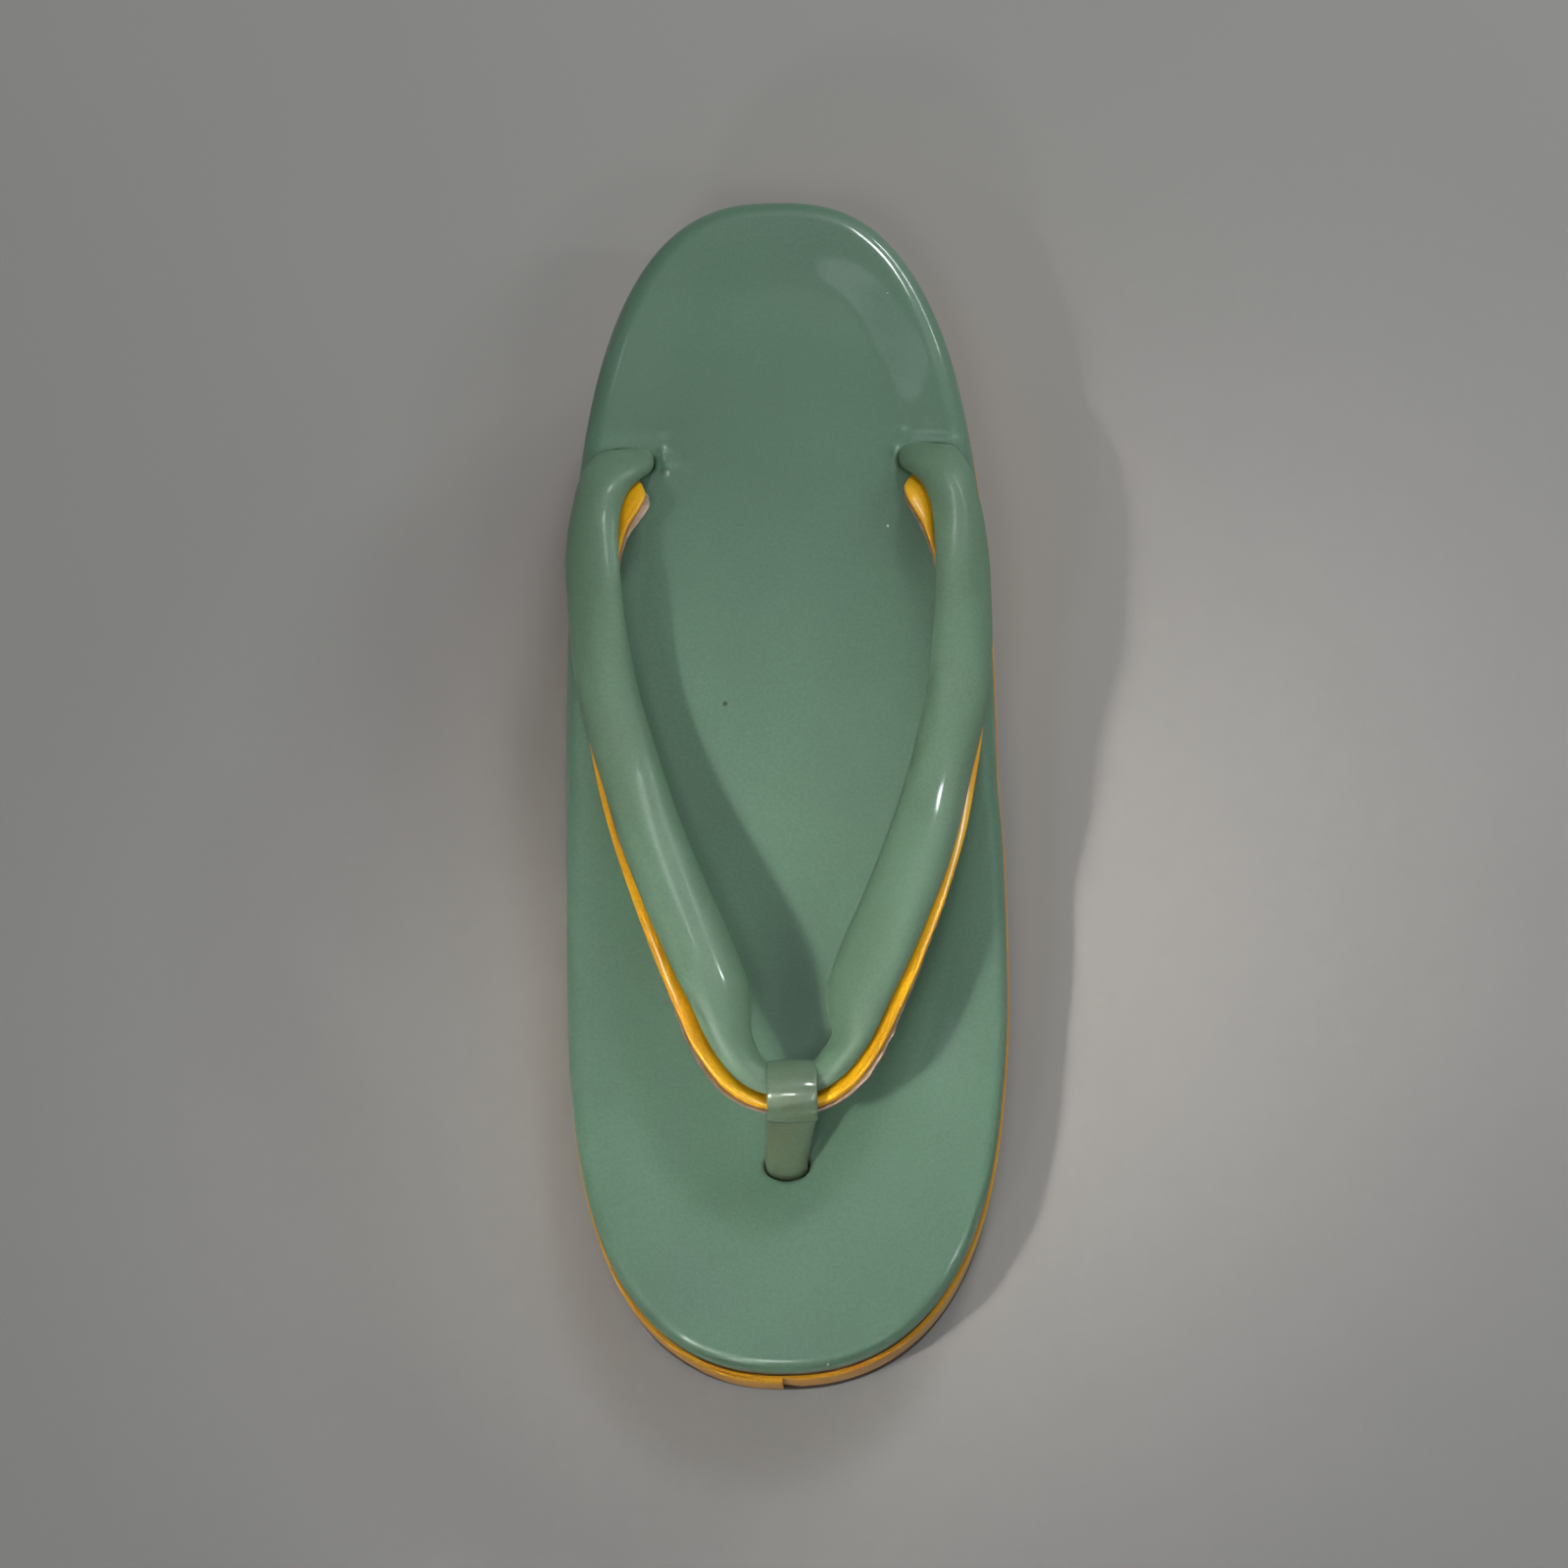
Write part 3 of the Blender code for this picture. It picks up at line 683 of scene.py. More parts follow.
@dataclass(frozen=True)
class RubberFinish(PlainFinish):
    """Dull moulded rubber with a fine stipple, dusty in its hollows."""

    name: str = "dull_rubber"
    first: Colour = (0.050, 0.024, 0.015, 1.0)
    second: Colour = (0.110, 0.075, 0.055, 1.0)
    dust_scale: float = 70.0
    most_dust: float = 0.6
    stipple_scale: float = 1300.0
    stipple_height: float = 0.06

    def nodes(self, graph: Graph, shader: bpy.types.Node, place: Socket) -> tuple[Socket, Socket]:
        """Dust and stipple."""
        noise = graph.noise(place, self.dust_scale, 5.0, 0.65)
        dust = graph.ramp(noise, 0.45, 0.75, 0.0, self.most_dust)
        rough = graph.ramp(dust, 0.0, self.most_dust, 0.5, 0.8)
        graph.tree.links.new(rough, shader.inputs["Roughness"])
        return dust, graph.math("MULTIPLY", graph.noise(place, self.stipple_scale), self.stipple_height)


@dataclass(frozen=True)
class CorkFinish(PlainFinish):
    """Pressed cork crumb."""

    name: str = "pressed_cork"
    first: Colour = (0.42, 0.27, 0.14, 1.0)
    second: Colour = (0.16, 0.085, 0.04, 1.0)
    crumb_scale: float = 420.0
    crumb_height: float = -0.3
    roughness: float = 0.85

    def nodes(self, graph: Graph, shader: bpy.types.Node, place: Socket) -> tuple[Socket, Socket]:
        """Tone and height of each crumb."""
        crumb = graph.add("TexVoronoi", {"Vector": place, "Scale": self.crumb_scale})
        tone = graph.add("SeparateColor", {0: crumb.outputs["Color"]}).outputs[0]
        shader.inputs["Roughness"].default_value = self.roughness
        return tone, graph.math("MULTIPLY", crumb.outputs["Distance"], self.crumb_height)


def new_material(name: str) -> tuple[bpy.types.Material, Graph, bpy.types.Node]:
    """New material with its graph and its Principled shader."""
    material = bpy.data.materials.new(name)
    material.use_nodes = True
    return material, Graph(material.node_tree), material.node_tree.nodes["Principled BSDF"]


GREEN = dict(colour=(0.102, 0.203, 0.131, 1.0), mottle=(0.095, 0.188, 0.121, 1.0))
# Greyer and lighter than the footbed's green: the greyer tint is the strap's own, the extra lightness is
# painted light on the straps.
STRAP_GREEN_PAINTED_LIGHT = dict(colour=(0.126, 0.220, 0.143, 1.0), mottle=(0.119, 0.204, 0.129, 1.0))
YELLOW = dict(colour=(0.790, 0.410, 0.006, 1.0), mottle=(0.710, 0.335, 0.006, 1.0))

PAD_VINYL = VinylFinish(
    "footbed_vinyl", **GREEN, roughness=0.46, spread=0.10, coat=0.90, coat_roughness=0.07,
    wave_depth=0.085, clouds=(42.0, 3.0, 0.36, 0.66, 0.25, 1.1),
    specks=(
        (22.3, 51.3, 0.30, 0.80),
        (23.0, 98.9, 0.22, 0.70),
        (8.2, -118.1, 0.22, 0.70),
        (-11.1, 16.3, 0.60, 0.04),
    ),
)
STRAP_VINYL = VinylFinish(
    "strap_vinyl", **STRAP_GREEN_PAINTED_LIGHT, roughness=0.46, spread=0.08, coat=0.14, coat_roughness=0.08,
    wave_depth=0.06, specular=0.35, clouds=(130.0, 2.0, 0.55, 0.75, 0.5, 1.8),
    polish=((-28.4, 7.2, 7.0), (-12.5, -50.1, 6.0), (34.3, 13.7, 5.5), (32.3, -11.1, 5.5)),
)
POST_VINYL = VinylFinish(
    "post_vinyl", colour=(0.118, 0.188, 0.118, 1.0), mottle=(0.116, 0.172, 0.094, 1.0),
    roughness=0.42, spread=0.08, coat=1.00, coat_roughness=0.07,
    mottle_scale=150.0, wave_scale=260.0, wave_depth=0.07,
)
# Same vinyl as the loop, painted darker: painted shade on the stem under the loop's hem and the strap's
# point.
SHADED_STEM_VINYL = VinylFinish(
    "shaded_stem_vinyl", colour=(0.101, 0.158, 0.098, 1.0), mottle=(0.106, 0.145, 0.078, 1.0),
    roughness=0.46, spread=0.08, coat=0.50, coat_roughness=0.10,
    mottle_scale=170.0, wave_scale=300.0, wave_depth=0.12,
)
LINING_VINYL = VinylFinish(
    "lining_vinyl", **YELLOW, roughness=0.46, spread=0.08, coat=0.40, coat_roughness=0.12, specular=0.35,
    wave_scale=160.0, wave_depth=0.05, mottle_scale=60.0,
)
TAPE_VINYL = VinylFinish(
    "tape_vinyl", colour=(0.700, 0.345, 0.020, 1.0), mottle=(0.600, 0.255, 0.022, 1.0),
    roughness=0.38, spread=0.10, coat=0.30, coat_roughness=0.16,
    wave_scale=120.0, wave_depth=0.08, mottle_scale=45.0,
)


@dataclass(frozen=True)
class Mouth:
    """Opening in the footbed with a rolled lip: an oval funnel whose wall leans along Y."""

    centre: tuple[float, float]
    half_across: float
    half_along: float
    power: float
    lip: float
    depth: float
    lean: float

    def pull(self, points: Array) -> Array:
        """Points of the footbed's top drawn over the lip and down into the opening.

        Args:
            points: Points by three.

        Returns:
            The moved points.
        """
        a = points[:, 0] - self.centre[0]
        b = points[:, 1] - self.centre[1]
        away = np.maximum(np.hypot(a, b), 1e-9)
        norm = (np.abs(a / self.half_across) ** self.power + np.abs(b / self.half_along) ** self.power)
        norm = np.maximum(norm ** (1 / self.power), 1e-9)
        edge = away / norm
        gap = away - edge
        inside = self.lip - gap
        angle = math.pi / 2 * np.clip(inside / self.lip, 0, 1)
        drop = self.lip * (1 - np.cos(angle))
        reach = edge + self.lip * (1 - np.sin(angle))
        wall_band = edge * 0.55
        wall_share = np.clip(-gap / wall_band, 0, 1)
        drop = drop + (self.depth - self.lip) * wall_share
        floor_share = np.clip((-gap - wall_band) / np.maximum(edge - wall_band, 1e-9), 0, 1)
        reach = np.where(gap < 0, edge * (1 - floor_share), reach)
        touched = inside > 0
        moved = points.copy()
        scale = np.where(touched, reach / away, 1.0)
        moved[:, 0] = self.centre[0] + a * scale
        moved[:, 1] = self.centre[1] + b * scale + np.where(touched, drop * math.tan(self.lean), 0.0)
        moved[:, 2] = points[:, 2] - np.where(touched, drop, 0.0)
        return moved


@dataclass
class Footbed:
    """Padded top: vinyl stretched over foam, with a rolled edge, strap slots and a post hole."""

    inset: float = 0.3 * MM
    tuck: float = 2.5 * MM
    tuck_curve: float = 1.6
    wall_curve: float = 1.5
    tuck_steps: int = 7
    toe_round: float = 2.6 * MM
    heel_round: float = 4.4 * MM
    rim_width: float = 13.0 * MM
    dish_depth: float = 0.9 * MM
    dish_start: float = 2.5 * MM
    dish_slope: float = 21.0 * MM
    points_round: int = 720
    roll_steps: int = 14
    rim_steps: int = 30
    across_steps: int = 66
    slot_station: float = 0.765
    slot_out: float = 30.31 * MM
    slot_half_across: float = 5.5 * MM
    slot_half_along: float = 2.75 * MM
    slot_back_shift: float = 0.5 * MM
    slot_power: float = 2.5
    slot_tilt: float = math.radians(28)
    hole_station: float = 0.176
    hole_x: float = 0.4 * MM
    hole_half_across: float = 4.45 * MM
    hole_half_along: float = 2.85 * MM
    hole_power: float = 2.1
    lip: float = 0.6 * MM
    pocket_depth: float = 6.4 * MM
    middle_crowding: float = 0.45
    under_steps: int = 5
    fill: float = 0.85
    # Points lie closer near a slot and near the hole. Columns: shift along Y, reach, gain
    slot_focus: Place = (1.5 * MM, 9 * MM, 1.6)
    hole_focus: Place = (0.0, 8 * MM, 1.2)
    # Columns in millimetres: height, wavelength, then the seed of the padding's waves
    waves: Rows = ((0.08, 62, 1), (0.03, 21, 4))
    rim_waver: Place = (1.2, 70, 2)
    # Columns in millimetres and degrees: x, y, height, reach along, reach across, turn
    puckers: Rows = (
        (-22.9, 66.4, 0.75, 1.0, 1.5, 20),
        (-22.0, 63.6, 0.80, 1.0, 1.3, -12),
        (-19.4, 65.2, -0.30, 1.9, 2.6, 0),
        (-31.0, 71.2, -0.40, 9.0, 2.4, 4),
        (-30.5, 60.2, 0.25, 5.5, 1.6, 0),
        (24.0, 65.4, 0.80, 1.0, 1.6, -15),
        (25.4, 70.2, 0.40, 1.3, 1.0, 30),
        (20.9, 65.8, -0.25, 1.8, 2.6, 0),
        (31.0, 70.9, -0.35, 8.0, 2.2, -6),
        (30.5, 60.2, 0.22, 5.5, 1.6, 0),
        (0.4, -78.5, -0.80, 7.5, 5.5, 0),
    )

    def mouths(self) -> list[Mouth]:
        """Openings for the strap's two ends and the toe post."""
        slot_y = SOLE.station_y(self.slot_station) + self.slot_back_shift
        slots = [
            Mouth(
                (side.value * self.slot_out, slot_y), self.slot_half_across, self.slot_half_along,
                self.slot_power, self.lip, self.pocket_depth, self.slot_tilt,
            )
            for side in Side
        ]
        hole = Mouth(
            (self.hole_x, SOLE.station_y(self.hole_station)), self.hole_half_across,
            self.hole_half_along, self.hole_power, self.lip, self.pocket_depth, 0.0,
        )
        return [*slots, hole]

    def profile(self, radius: Array) -> list[tuple[Array, Array]]:
        """Inset and drop from the tuck under the edge, round the rolled edge, to the flat of the top.

        Args:
            radius: Radius of the rolled edge at each point of the outline.

        Returns:
            Rows of the band, each with its insets and drops.
        """
        rows = []
        thickness = SOLE.footbed_thickness
        for step in range(self.tuck_steps):
            t = step / self.tuck_steps
            inset = self.inset + self.tuck * (1 - smooth_step(t)) ** self.tuck_curve
            rows.append((inset + 0 * radius, thickness - (thickness - radius) * t ** self.wall_curve))
        for step in range(self.roll_steps + 1):
            angle = math.pi / 2 * step / self.roll_steps
            rows.append((self.inset + radius * (1 - math.cos(angle)), radius * (1 - math.sin(angle))))
        for step in range(1, self.rim_steps + 1):
            rows.append((self.inset + radius + self.rim_width * step / self.rim_steps, 0 * radius))
        return rows

    def relief(self, x: Array, y: Array) -> Array:
        """Height of the uneven padding, its dish, the puckers at the slots and the dip at the post."""
        height, length, seed = self.rim_waver
        uneven = height * MM * ripple(x, y, length * MM, seed)
        inward = smooth_step((SOLE.edge_gap(x, y) - self.dish_start + uneven) / self.dish_slope)
        soft = -self.dish_depth * inward
        for height, length, seed in self.waves:
            soft = soft + height * MM * ripple(x, y, length * MM, seed)
        for place_x, place_y, lift, wide, deep, turn in self.puckers:
            reach = (wide * MM, deep * MM)
            soft = soft + lift * MM * spot_at(x, y, (place_x * MM, place_y * MM), reach, turn)
        return soft

    def _place(self, points: Array) -> Array:
        """Points of the top with their relief, pulled into the openings."""
        shape = points.shape
        flat = points.reshape(-1, 3).copy()
        flat[:, 2] += self.relief(flat[:, 0], flat[:, 1])
        for mouth in self.mouths():
            flat = mouth.pull(flat)
        return flat.reshape(shape)

    def build(self) -> None:
        """Padded footbed as one closed mesh."""
        focus = [
            (SOLE.station_y(station) + shift, reach, gain)
            for station, (shift, reach, gain) in (
                (self.slot_station, self.slot_focus), (self.hole_station, self.hole_focus),
            )
        ]
        outline, normals = SOLE.outline(self.points_round, focus)
        rows = []
        back = smooth_step((SOLE.share_of(outline[:, 1]) - 0.3) / 0.4)
        for inset, drop in self.profile(self.toe_round + (self.heel_round - self.toe_round) * back):
            plan = outline - normals * inset[:, None]
            rows.append(np.column_stack([plan, SOLE.top_height(plan[:, 1]) - drop]))
        band = np.array(rows)
        first_top = len(rows) - self.rim_steps - self.roll_steps // 2
        inner_ring = band[-1].copy()
        band[first_top:] = self._place(band[first_top:])
        band = np.concatenate([band, band[:, :1]], axis=1)
        sweep = np.linspace(-1, 1, self.across_steps + 1)
        crowded = (1 - self.middle_crowding) * sweep + self.middle_crowding * sweep ** 3
        inner = self._place(rungs(inner_ring, 0.5 + 0.5 * crowded))
        under = rungs(band[0][:-1], np.linspace(0, 1, self.under_steps))
        surfaces = [SOLE.settled(points) for points in (band, inner, under)]
        Modeller.make("footbed_pad", surfaces, PAD_VINYL.material(), Slot.GREEN, "footbed", fill=self.fill)


@dataclass
class SideTape:
    """Vinyl tape round the wedge, its left end lapped over its right end at the toe tip."""

    points_round: int = 520
    toe_focus: Place = (0.0, 14 * MM, 2.0)
    lap: float = 9.0 * MM
    lap_fade: float = 12.0 * MM
    lap_lead: float = 0.6
    lap_end: float = -1.0 * MM
    lap_rise: float = 0.5 * MM
    lap_gap: float = 0.03 * MM
    end_run: float = 20 * MM
    end_steps: int = 90
    middle_steps: int = 400
    thin_from: float = 3 * MM
    thin_reach: float = 4 * MM
    bulge: float = 0.25 * MM
    bulge_curve: float = 0.8
    waver: Place = (0.10, 33, 2)
    edge_inset: float = 0.25
    edge_lift: float = 0.09625 * MM
    edge_trim: float = 0.1 * MM
    outer_steps: int = 14
    crisp: float = 45

    def profile(self) -> list[Place]:
        """Inset, share of the wall's height and lift round the tape's section."""
        rows = []
        for step in range(self.outer_steps + 1):
            share = step / self.outer_steps
            rows.append((-self.bulge * math.sin(math.pi * share) ** self.bulge_curve, share, 0.0))
        thickness = SOLE.wrap_thickness
        near = self.edge_inset * thickness
        rows += [(near, 1.0, self.edge_lift), (thickness, 1.0, 0.0), (thickness, 0.0, 0.0)]
        return [*rows, (near, 0.0, -self.edge_lift), rows[0]]

    def course(self) -> tuple[Array, Array, Array, float]:
        """Places of the tape's stations along the outline, counted from the toe tip.

        Returns:
            Distances along the outline, points, outward normals and the whole way round.
        """
        station_y = SOLE.station_y(0.0)
        shift, reach, gain = self.toe_focus
        outline, normals = SOLE.outline(self.points_round, ((station_y + shift, reach, gain),))
        ring = np.vstack([outline, outline[:1]])
        ring_normals = np.vstack([normals, normals[:1]])
        run = np.concatenate([[0], np.cumsum(np.linalg.norm(np.diff(ring, axis=0), axis=1))])
        total = run[-1]
        start = -(self.lap + self.lap_lead * self.lap_fade)
        stops = np.concatenate([
            np.linspace(start, self.end_run, self.end_steps, endpoint=False),
            np.linspace(self.end_run, total - self.end_run, self.middle_steps, endpoint=False),
            np.linspace(total - self.end_run, total + self.lap_end, self.end_steps),
        ])
        wrapped = np.mod(stops, total)
        plan, out = (
            np.stack([np.interp(wrapped, run, table[:, axis]) for axis in (0, 1)], axis=1)
            for table in (ring, ring_normals)
        )
        return stops, plan, out / np.linalg.norm(out, axis=1)[:, None], total

    def build(self) -> None:
        """Tape as one closed mesh with two ends."""
        stops, plan, out, total = self.course()
        thickness = SOLE.wrap_thickness
        raised = self.lap_rise * smooth_step((stops - (total - self.lap - self.lap_fade)) / self.lap_fade)
        covering = self.lap_rise * smooth_step((stops + self.lap + self.lap_fade) / self.lap_fade)
        thinned = thickness + self.lap_gap - covering
        thinned = thinned * smooth_step((self.thin_from - stops) / self.thin_reach)
        plan = plan + out * raised[:, None]
        bottom = SOLE.floor_height(plan[:, 1]) + SOLE.outsole_thickness + SOLE.clearance
        top = SOLE.wall_top(plan[:, 1])
        height, length, seed = self.waver
        wave = height * MM * ripple(stops, np.zeros_like(stops), length * MM, seed)
        columns = []
        for inset, share, lift in self.profile():
            z = bottom + (top - bottom) * share
            under = (top - z) * math.tan(SOLE.undercut)
            face = inset < self.edge_trim
            fade = math.sin(math.pi * share) if face else 0.0
            depth = under + inset - wave * fade + thinned * (1 - max(inset, 0.0) / thickness)
            end = {1.0: self.edge_trim, 0.0: -self.edge_trim}.get(share, 0.0) if face else 0.0
            columns.append(np.column_stack([plan - out * depth[:, None], z - end + lift]))
        points = SOLE.settled(np.array(columns).transpose(1, 0, 2))
        material = TAPE_VINYL.material()
        Modeller.make("side_tape", [points], material, Slot.YELLOW, "side_wrap", crisp=self.crisp)


@dataclass
class Outsole:
    """Rubber sheet under the sole with fine cross ribs inside a plain border."""

    border: float = 6.0 * MM
    rib_pitch: float = 3.2 * MM
    rib_margin: float = 5 * MM
    groove_width: float = 1.1 * MM
    groove_slope: float = 0.25 * MM
    groove_depth: float = 0.6 * MM
    chamfer: float = 0.8 * MM
    upper_break: float = 0.35 * MM
    points_round: int = 480
    lid_steps: int = 9
    plain_station: float = 0.53
    plain_reach: float = 0.09
    rib_ends: float = 0.95
    across: tuple[float, ...] = (1.0, 0.97, 0.94, 0.6, 0.2, -0.2, -0.6, -0.94, -0.97, -1.0)
    crisp: float = 35

    def build(self) -> None:
        """Ribbed sheet as one closed mesh."""
        outline, normals = SOLE.outline(self.points_round)
        thickness = SOLE.outsole_thickness
        top_y = SOLE.floor_height(outline[:, 1]) + thickness
        wall = (SOLE.wall_top(outline[:, 1]) - top_y) * math.tan(SOLE.undercut)
        stack = (
            (self.border, thickness), (self.upper_break, thickness),
            (0.0, thickness - self.upper_break), (0.0, self.chamfer),
            (0.25 * self.chamfer, 0.25 * self.chamfer), (self.chamfer, 0.0), (self.border, 0.0),
        )
        rows = []
        for inset, lift in stack:
            plan = outline - normals * (wall + inset)[:, None]
            rows.append(np.column_stack([plan, SOLE.floor_height(plan[:, 1]) + lift]))
        band = np.array(rows)
        lid = rungs(band[0], np.linspace(0, 1, self.lid_steps))
        tread = self._tread(band[-1])
        band = np.concatenate([band, band[:, :1]], axis=1)
        surfaces = [SOLE.settled(points) for points in (band, lid, tread)]
        material = RubberFinish().material()
        Modeller.make("outsole_sheet", surfaces, material, Slot.RUBBER, "outsole", crisp=self.crisp)

    def _tread(self, ring: Array) -> Array:
        """Underside inside the border, with grooves between its ribs."""
        half = ring[: len(ring) // 2 + 1]
        slope, width = self.groove_slope, self.groove_width
        groove = ((0.0, 0.0), (slope, 1.0), (width - slope, 1.0), (width, 0.0))
        stops = []
        start = half[0, 1] + self.rib_margin
        while start + width < half[-1, 1] - self.rib_margin:
            stops += [(start + shift, share) for shift, share in groove]
            start += self.rib_pitch
        ys, shares = np.array([(half[0, 1], 0.0), *stops, (half[-1, 1], 0.0)]).T
        across = np.array(self.across)
        lift = np.where(np.abs(across) < self.rib_ends, 1.0, 0.0)
        points = np.empty((len(ys), len(across), 3))
        points[..., 0] = np.interp(ys, half[:, 1], half[:, 0])[:, None] * across[None, :]
        points[..., 1] = ys[:, None]
        plain = smooth_step(1 - np.abs((SOLE.share_of(ys) - self.plain_station) / self.plain_reach) ** 4)
        depth = shares * self.groove_depth * (1 - np.round(plain))
        points[..., 2] = SOLE.floor_height(ys)[:, None] + depth[:, None] * lift[None, :]
        return points


@dataclass
class StrapForm:
    """Course and section sizes of the strap, as the CAD solids have them."""

    loop_station: float = 0.2175
    slot_station: float = 0.765
    slot_out: float = 30.31 * MM
    slot_depth: float = 12.0 * MM
    slot_tilt: float = math.radians(28)
    shown_depth: float = 6.0 * MM
    foot_room: float = 13.5 * MM
    strap_width: float = 14.4 * MM
    strap_height: float = 6.9 * MM
    lining_width: float = 15.6 * MM
    lining_thickness: float = 2.5 * MM
    front_lean: float = 1.7 * MM
    lean_reach: float = 0.6
    level_share: float = 0.2
    straight_depth: float = 0.2
    substeps: int = 12
    # Columns: along, out, room, strap, height, lining, shift, sheet and roll, as in the CAD table
    table: Rows = (
        (0.000, 0.00, 1.00, 0.53, 0.78, 0.62, 0.000, 1.00, -52),
        (0.001, 0.15, 1.00, 0.53, 0.78, 0.62, 0.000, 1.00, -52),
        (0.026, 0.30, 1.00, 0.62, 0.84, 0.68, 0.020, 1.04, -49),
        (0.078, 0.41, 0.99, 0.84, 0.92, 0.84, 0.060, 1.04, -43),
        (0.140, 0.49, 0.98, 1.00, 0.98, 0.98, 0.062, 1.04, -37),
        (0.220, 0.63, 0.94, 1.05, 1.00, 1.03, 0.030, 1.00, -31),
        (0.310, 0.79, 0.87, 1.01, 1.00, 1.00, -0.010, 1.00, -24),
        (0.400, 0.92, 0.77, 0.95, 1.00, 0.93, -0.015, 1.00, -16),
        (0.500, 1.03, 0.64, 0.89, 0.98, 0.86, 0.000, 0.95, -4),
        (0.600, 1.12, 0.49, 0.86, 0.97, 0.76, 0.025, 0.90, 14),
        (0.700, 1.17, 0.33, 0.84, 0.94, 0.63, 0.050, 0.80, 35),
        (0.790, 1.17, 0.19, 0.84, 0.91, 0.60, 0.050, 0.75, 48),
        (0.870, 1.14, 0.10, 0.82, 0.86, 0.69, 0.010, 0.75, 46),
        (0.930, 1.09, 0.08, 0.80, 0.76, 0.79, -0.060, 0.75, 32),
        (0.970, 1.04, 0.06, 0.80, 0.62, 0.78, -0.040, 0.70, 12),
    )
    slot_row: tuple[float, ...] = (1.000, 1.00, 0.00, 0.78, 0.46, 0.72, 0.000, 0.66, 0)
    # How far the edges stand out from the CAD form, in millimetres. Columns of the first table of
    # a pair: along, the tube's outer edge, the lining's outer edge. Of the second: the inner edges
    left_edges: tuple[Rows, Rows] = (
        (
            (0.000, 0.30, 0.20), (0.030, 0.20, 0.45), (0.083, -0.10, 0.30), (0.160, -0.05, 0.00),
            (0.240, -0.45, -0.40), (0.320, -0.65, -0.50), (0.400, -0.45, -0.20), (0.476, -0.40, 0.00),
            (0.600, -0.10, 0.00), (0.700, 0.00, 0.00), (0.780, 0.00, 0.00),
        ),
        (
            (0.476, 0.00, 0.00), (0.600, 0.00, 0.00), (0.700, 1.00, -0.60), (0.780, 1.50, -1.00),
            (0.830, 0.80, -1.20), (0.880, -0.50, -0.90), (0.925, -1.50, -0.20), (0.945, -1.50, -0.60),
            (0.970, -0.90, -2.20), (1.000, -0.20, -3.40),
        ),
    )
    right_edges: tuple[Rows, Rows] = (
        (
            (0.000, 0.30, 0.20), (0.030, 0.35, 0.40), (0.083, 0.80, 0.45), (0.136, 1.10, 0.65),
            (0.188, 0.95, 0.70), (0.240, 0.70, 0.40), (0.290, 0.30, 0.40), (0.345, 0.20, 0.30),
            (0.400, -0.10, 0.26), (0.500, -0.50, -0.16), (0.600, -0.10, 0.00), (0.700, 0.00, 0.00),
            (0.780, 0.00, 0.00),
        ),
        (
            (0.500, 0.00, 0.00), (0.600, 0.00, 0.00), (0.700, 1.10, -0.40), (0.780, 1.35, -0.50),
            (0.840, 0.70, 0.20), (0.880, -0.40, 0.50), (0.920, -1.50, 0.50), (0.950, -1.70, -0.20),
            (0.975, -1.00, -1.90), (1.000, -0.20, -3.00),
        ),
    )
    end_depths: tuple[float, ...] = (-0.08, 0.24, 0.62, 1.00)

    def row_sizes(self, row: Sequence[float]) -> list[float]:
        """Place, section sizes, roll and share along of one row of the table."""
        along, out, room, strap, height, lining, shift, sheet, roll = row
        y = SOLE.station_y(self.loop_station + along * (self.slot_station - self.loop_station))
        turn = math.radians(roll)
        width = max(strap * self.strap_width, lining * self.lining_width)
        reach = width / 2 * abs(math.sin(turn)) + sheet * self.lining_thickness * math.cos(turn)
        z = float(SOLE.top_height(np.array(y))) + room * self.foot_room + reach + SOLE.clearance
        return [
            out * self.slot_out, y, z,
            strap * self.strap_width, height * self.strap_height,
            lining * self.lining_width, sheet * self.lining_thickness, turn, along,
            shift * self.lining_width,
        ]

    def slot_axis(self) -> Array:
        """Direction in which a slot goes down into the sole."""
        return np.array([0.0, math.sin(self.slot_tilt), -math.cos(self.slot_tilt)])

    def slot_point(self, depth: float) -> Array:
        """Point on the right slot's middle line at a depth below the rim."""
        y = SOLE.station_y(self.slot_station)
        mouth = np.array([self.slot_out, y, float(SOLE.top_height(np.array(y)))])
        return mouth + self.slot_axis() * (depth / math.cos(self.slot_tilt))

    def stations(self) -> list[dict]:
        """Frames along the right half, from the loop into the slot."""
        rows = [self.row_sizes(row) for row in self.table]
        for depth in self.end_depths:
            end = self.row_sizes(self.slot_row)
            end[:3] = self.slot_point(depth * (self.slot_depth - SOLE.clearance))
            end[8] = 1.0 + 0.05 * (depth + 0.08)
            rows.append(end)
        samples = through_rows(np.array(rows), self.substeps)
        centres = samples[:, :3]
        up_axis = np.array([0.0, 0.0, 1.0])
        heading = np.array([1.0, 0.0, 0.0])
        found = []
        straight_y = self.slot_point(self.straight_depth * self.slot_depth)[1]
        deepest = self.slot_point(self.shown_depth)[2]
        for index, sample in enumerate(samples):
            direction = np.array([1.0, 0.0, 0.0])
            if index:
                direction = centres[min(index + 1, len(centres) - 1)] - centres[index - 1]
                direction /= np.linalg.norm(direction)
            level = direction * np.array([1.0, 1.0, 0.0])
            if np.linalg.norm(level) > self.level_share:
                heading = level / np.linalg.norm(level)
            if sample[1] > straight_y:
                heading = np.array([0.0, 1.0, 0.0])
                direction = self.slot_axis()
            across = np.cross(heading, up_axis)
            across /= np.linalg.norm(across)
            up = np.cross(across, direction)
            up /= np.linalg.norm(up)
            turn = sample[7]
            found.append({
                "centre": sample[:3],
                "across": across * math.cos(turn) - up * math.sin(turn),
                "up": up * math.cos(turn) + across * math.sin(turn),
                "strap": (sample[3], sample[4]),
                "lining": (sample[5], sample[6]),
                "along": sample[8],
                "shift": sample[9],
            })
            if sample[1] > straight_y and sample[2] < deepest:
                break
        return found

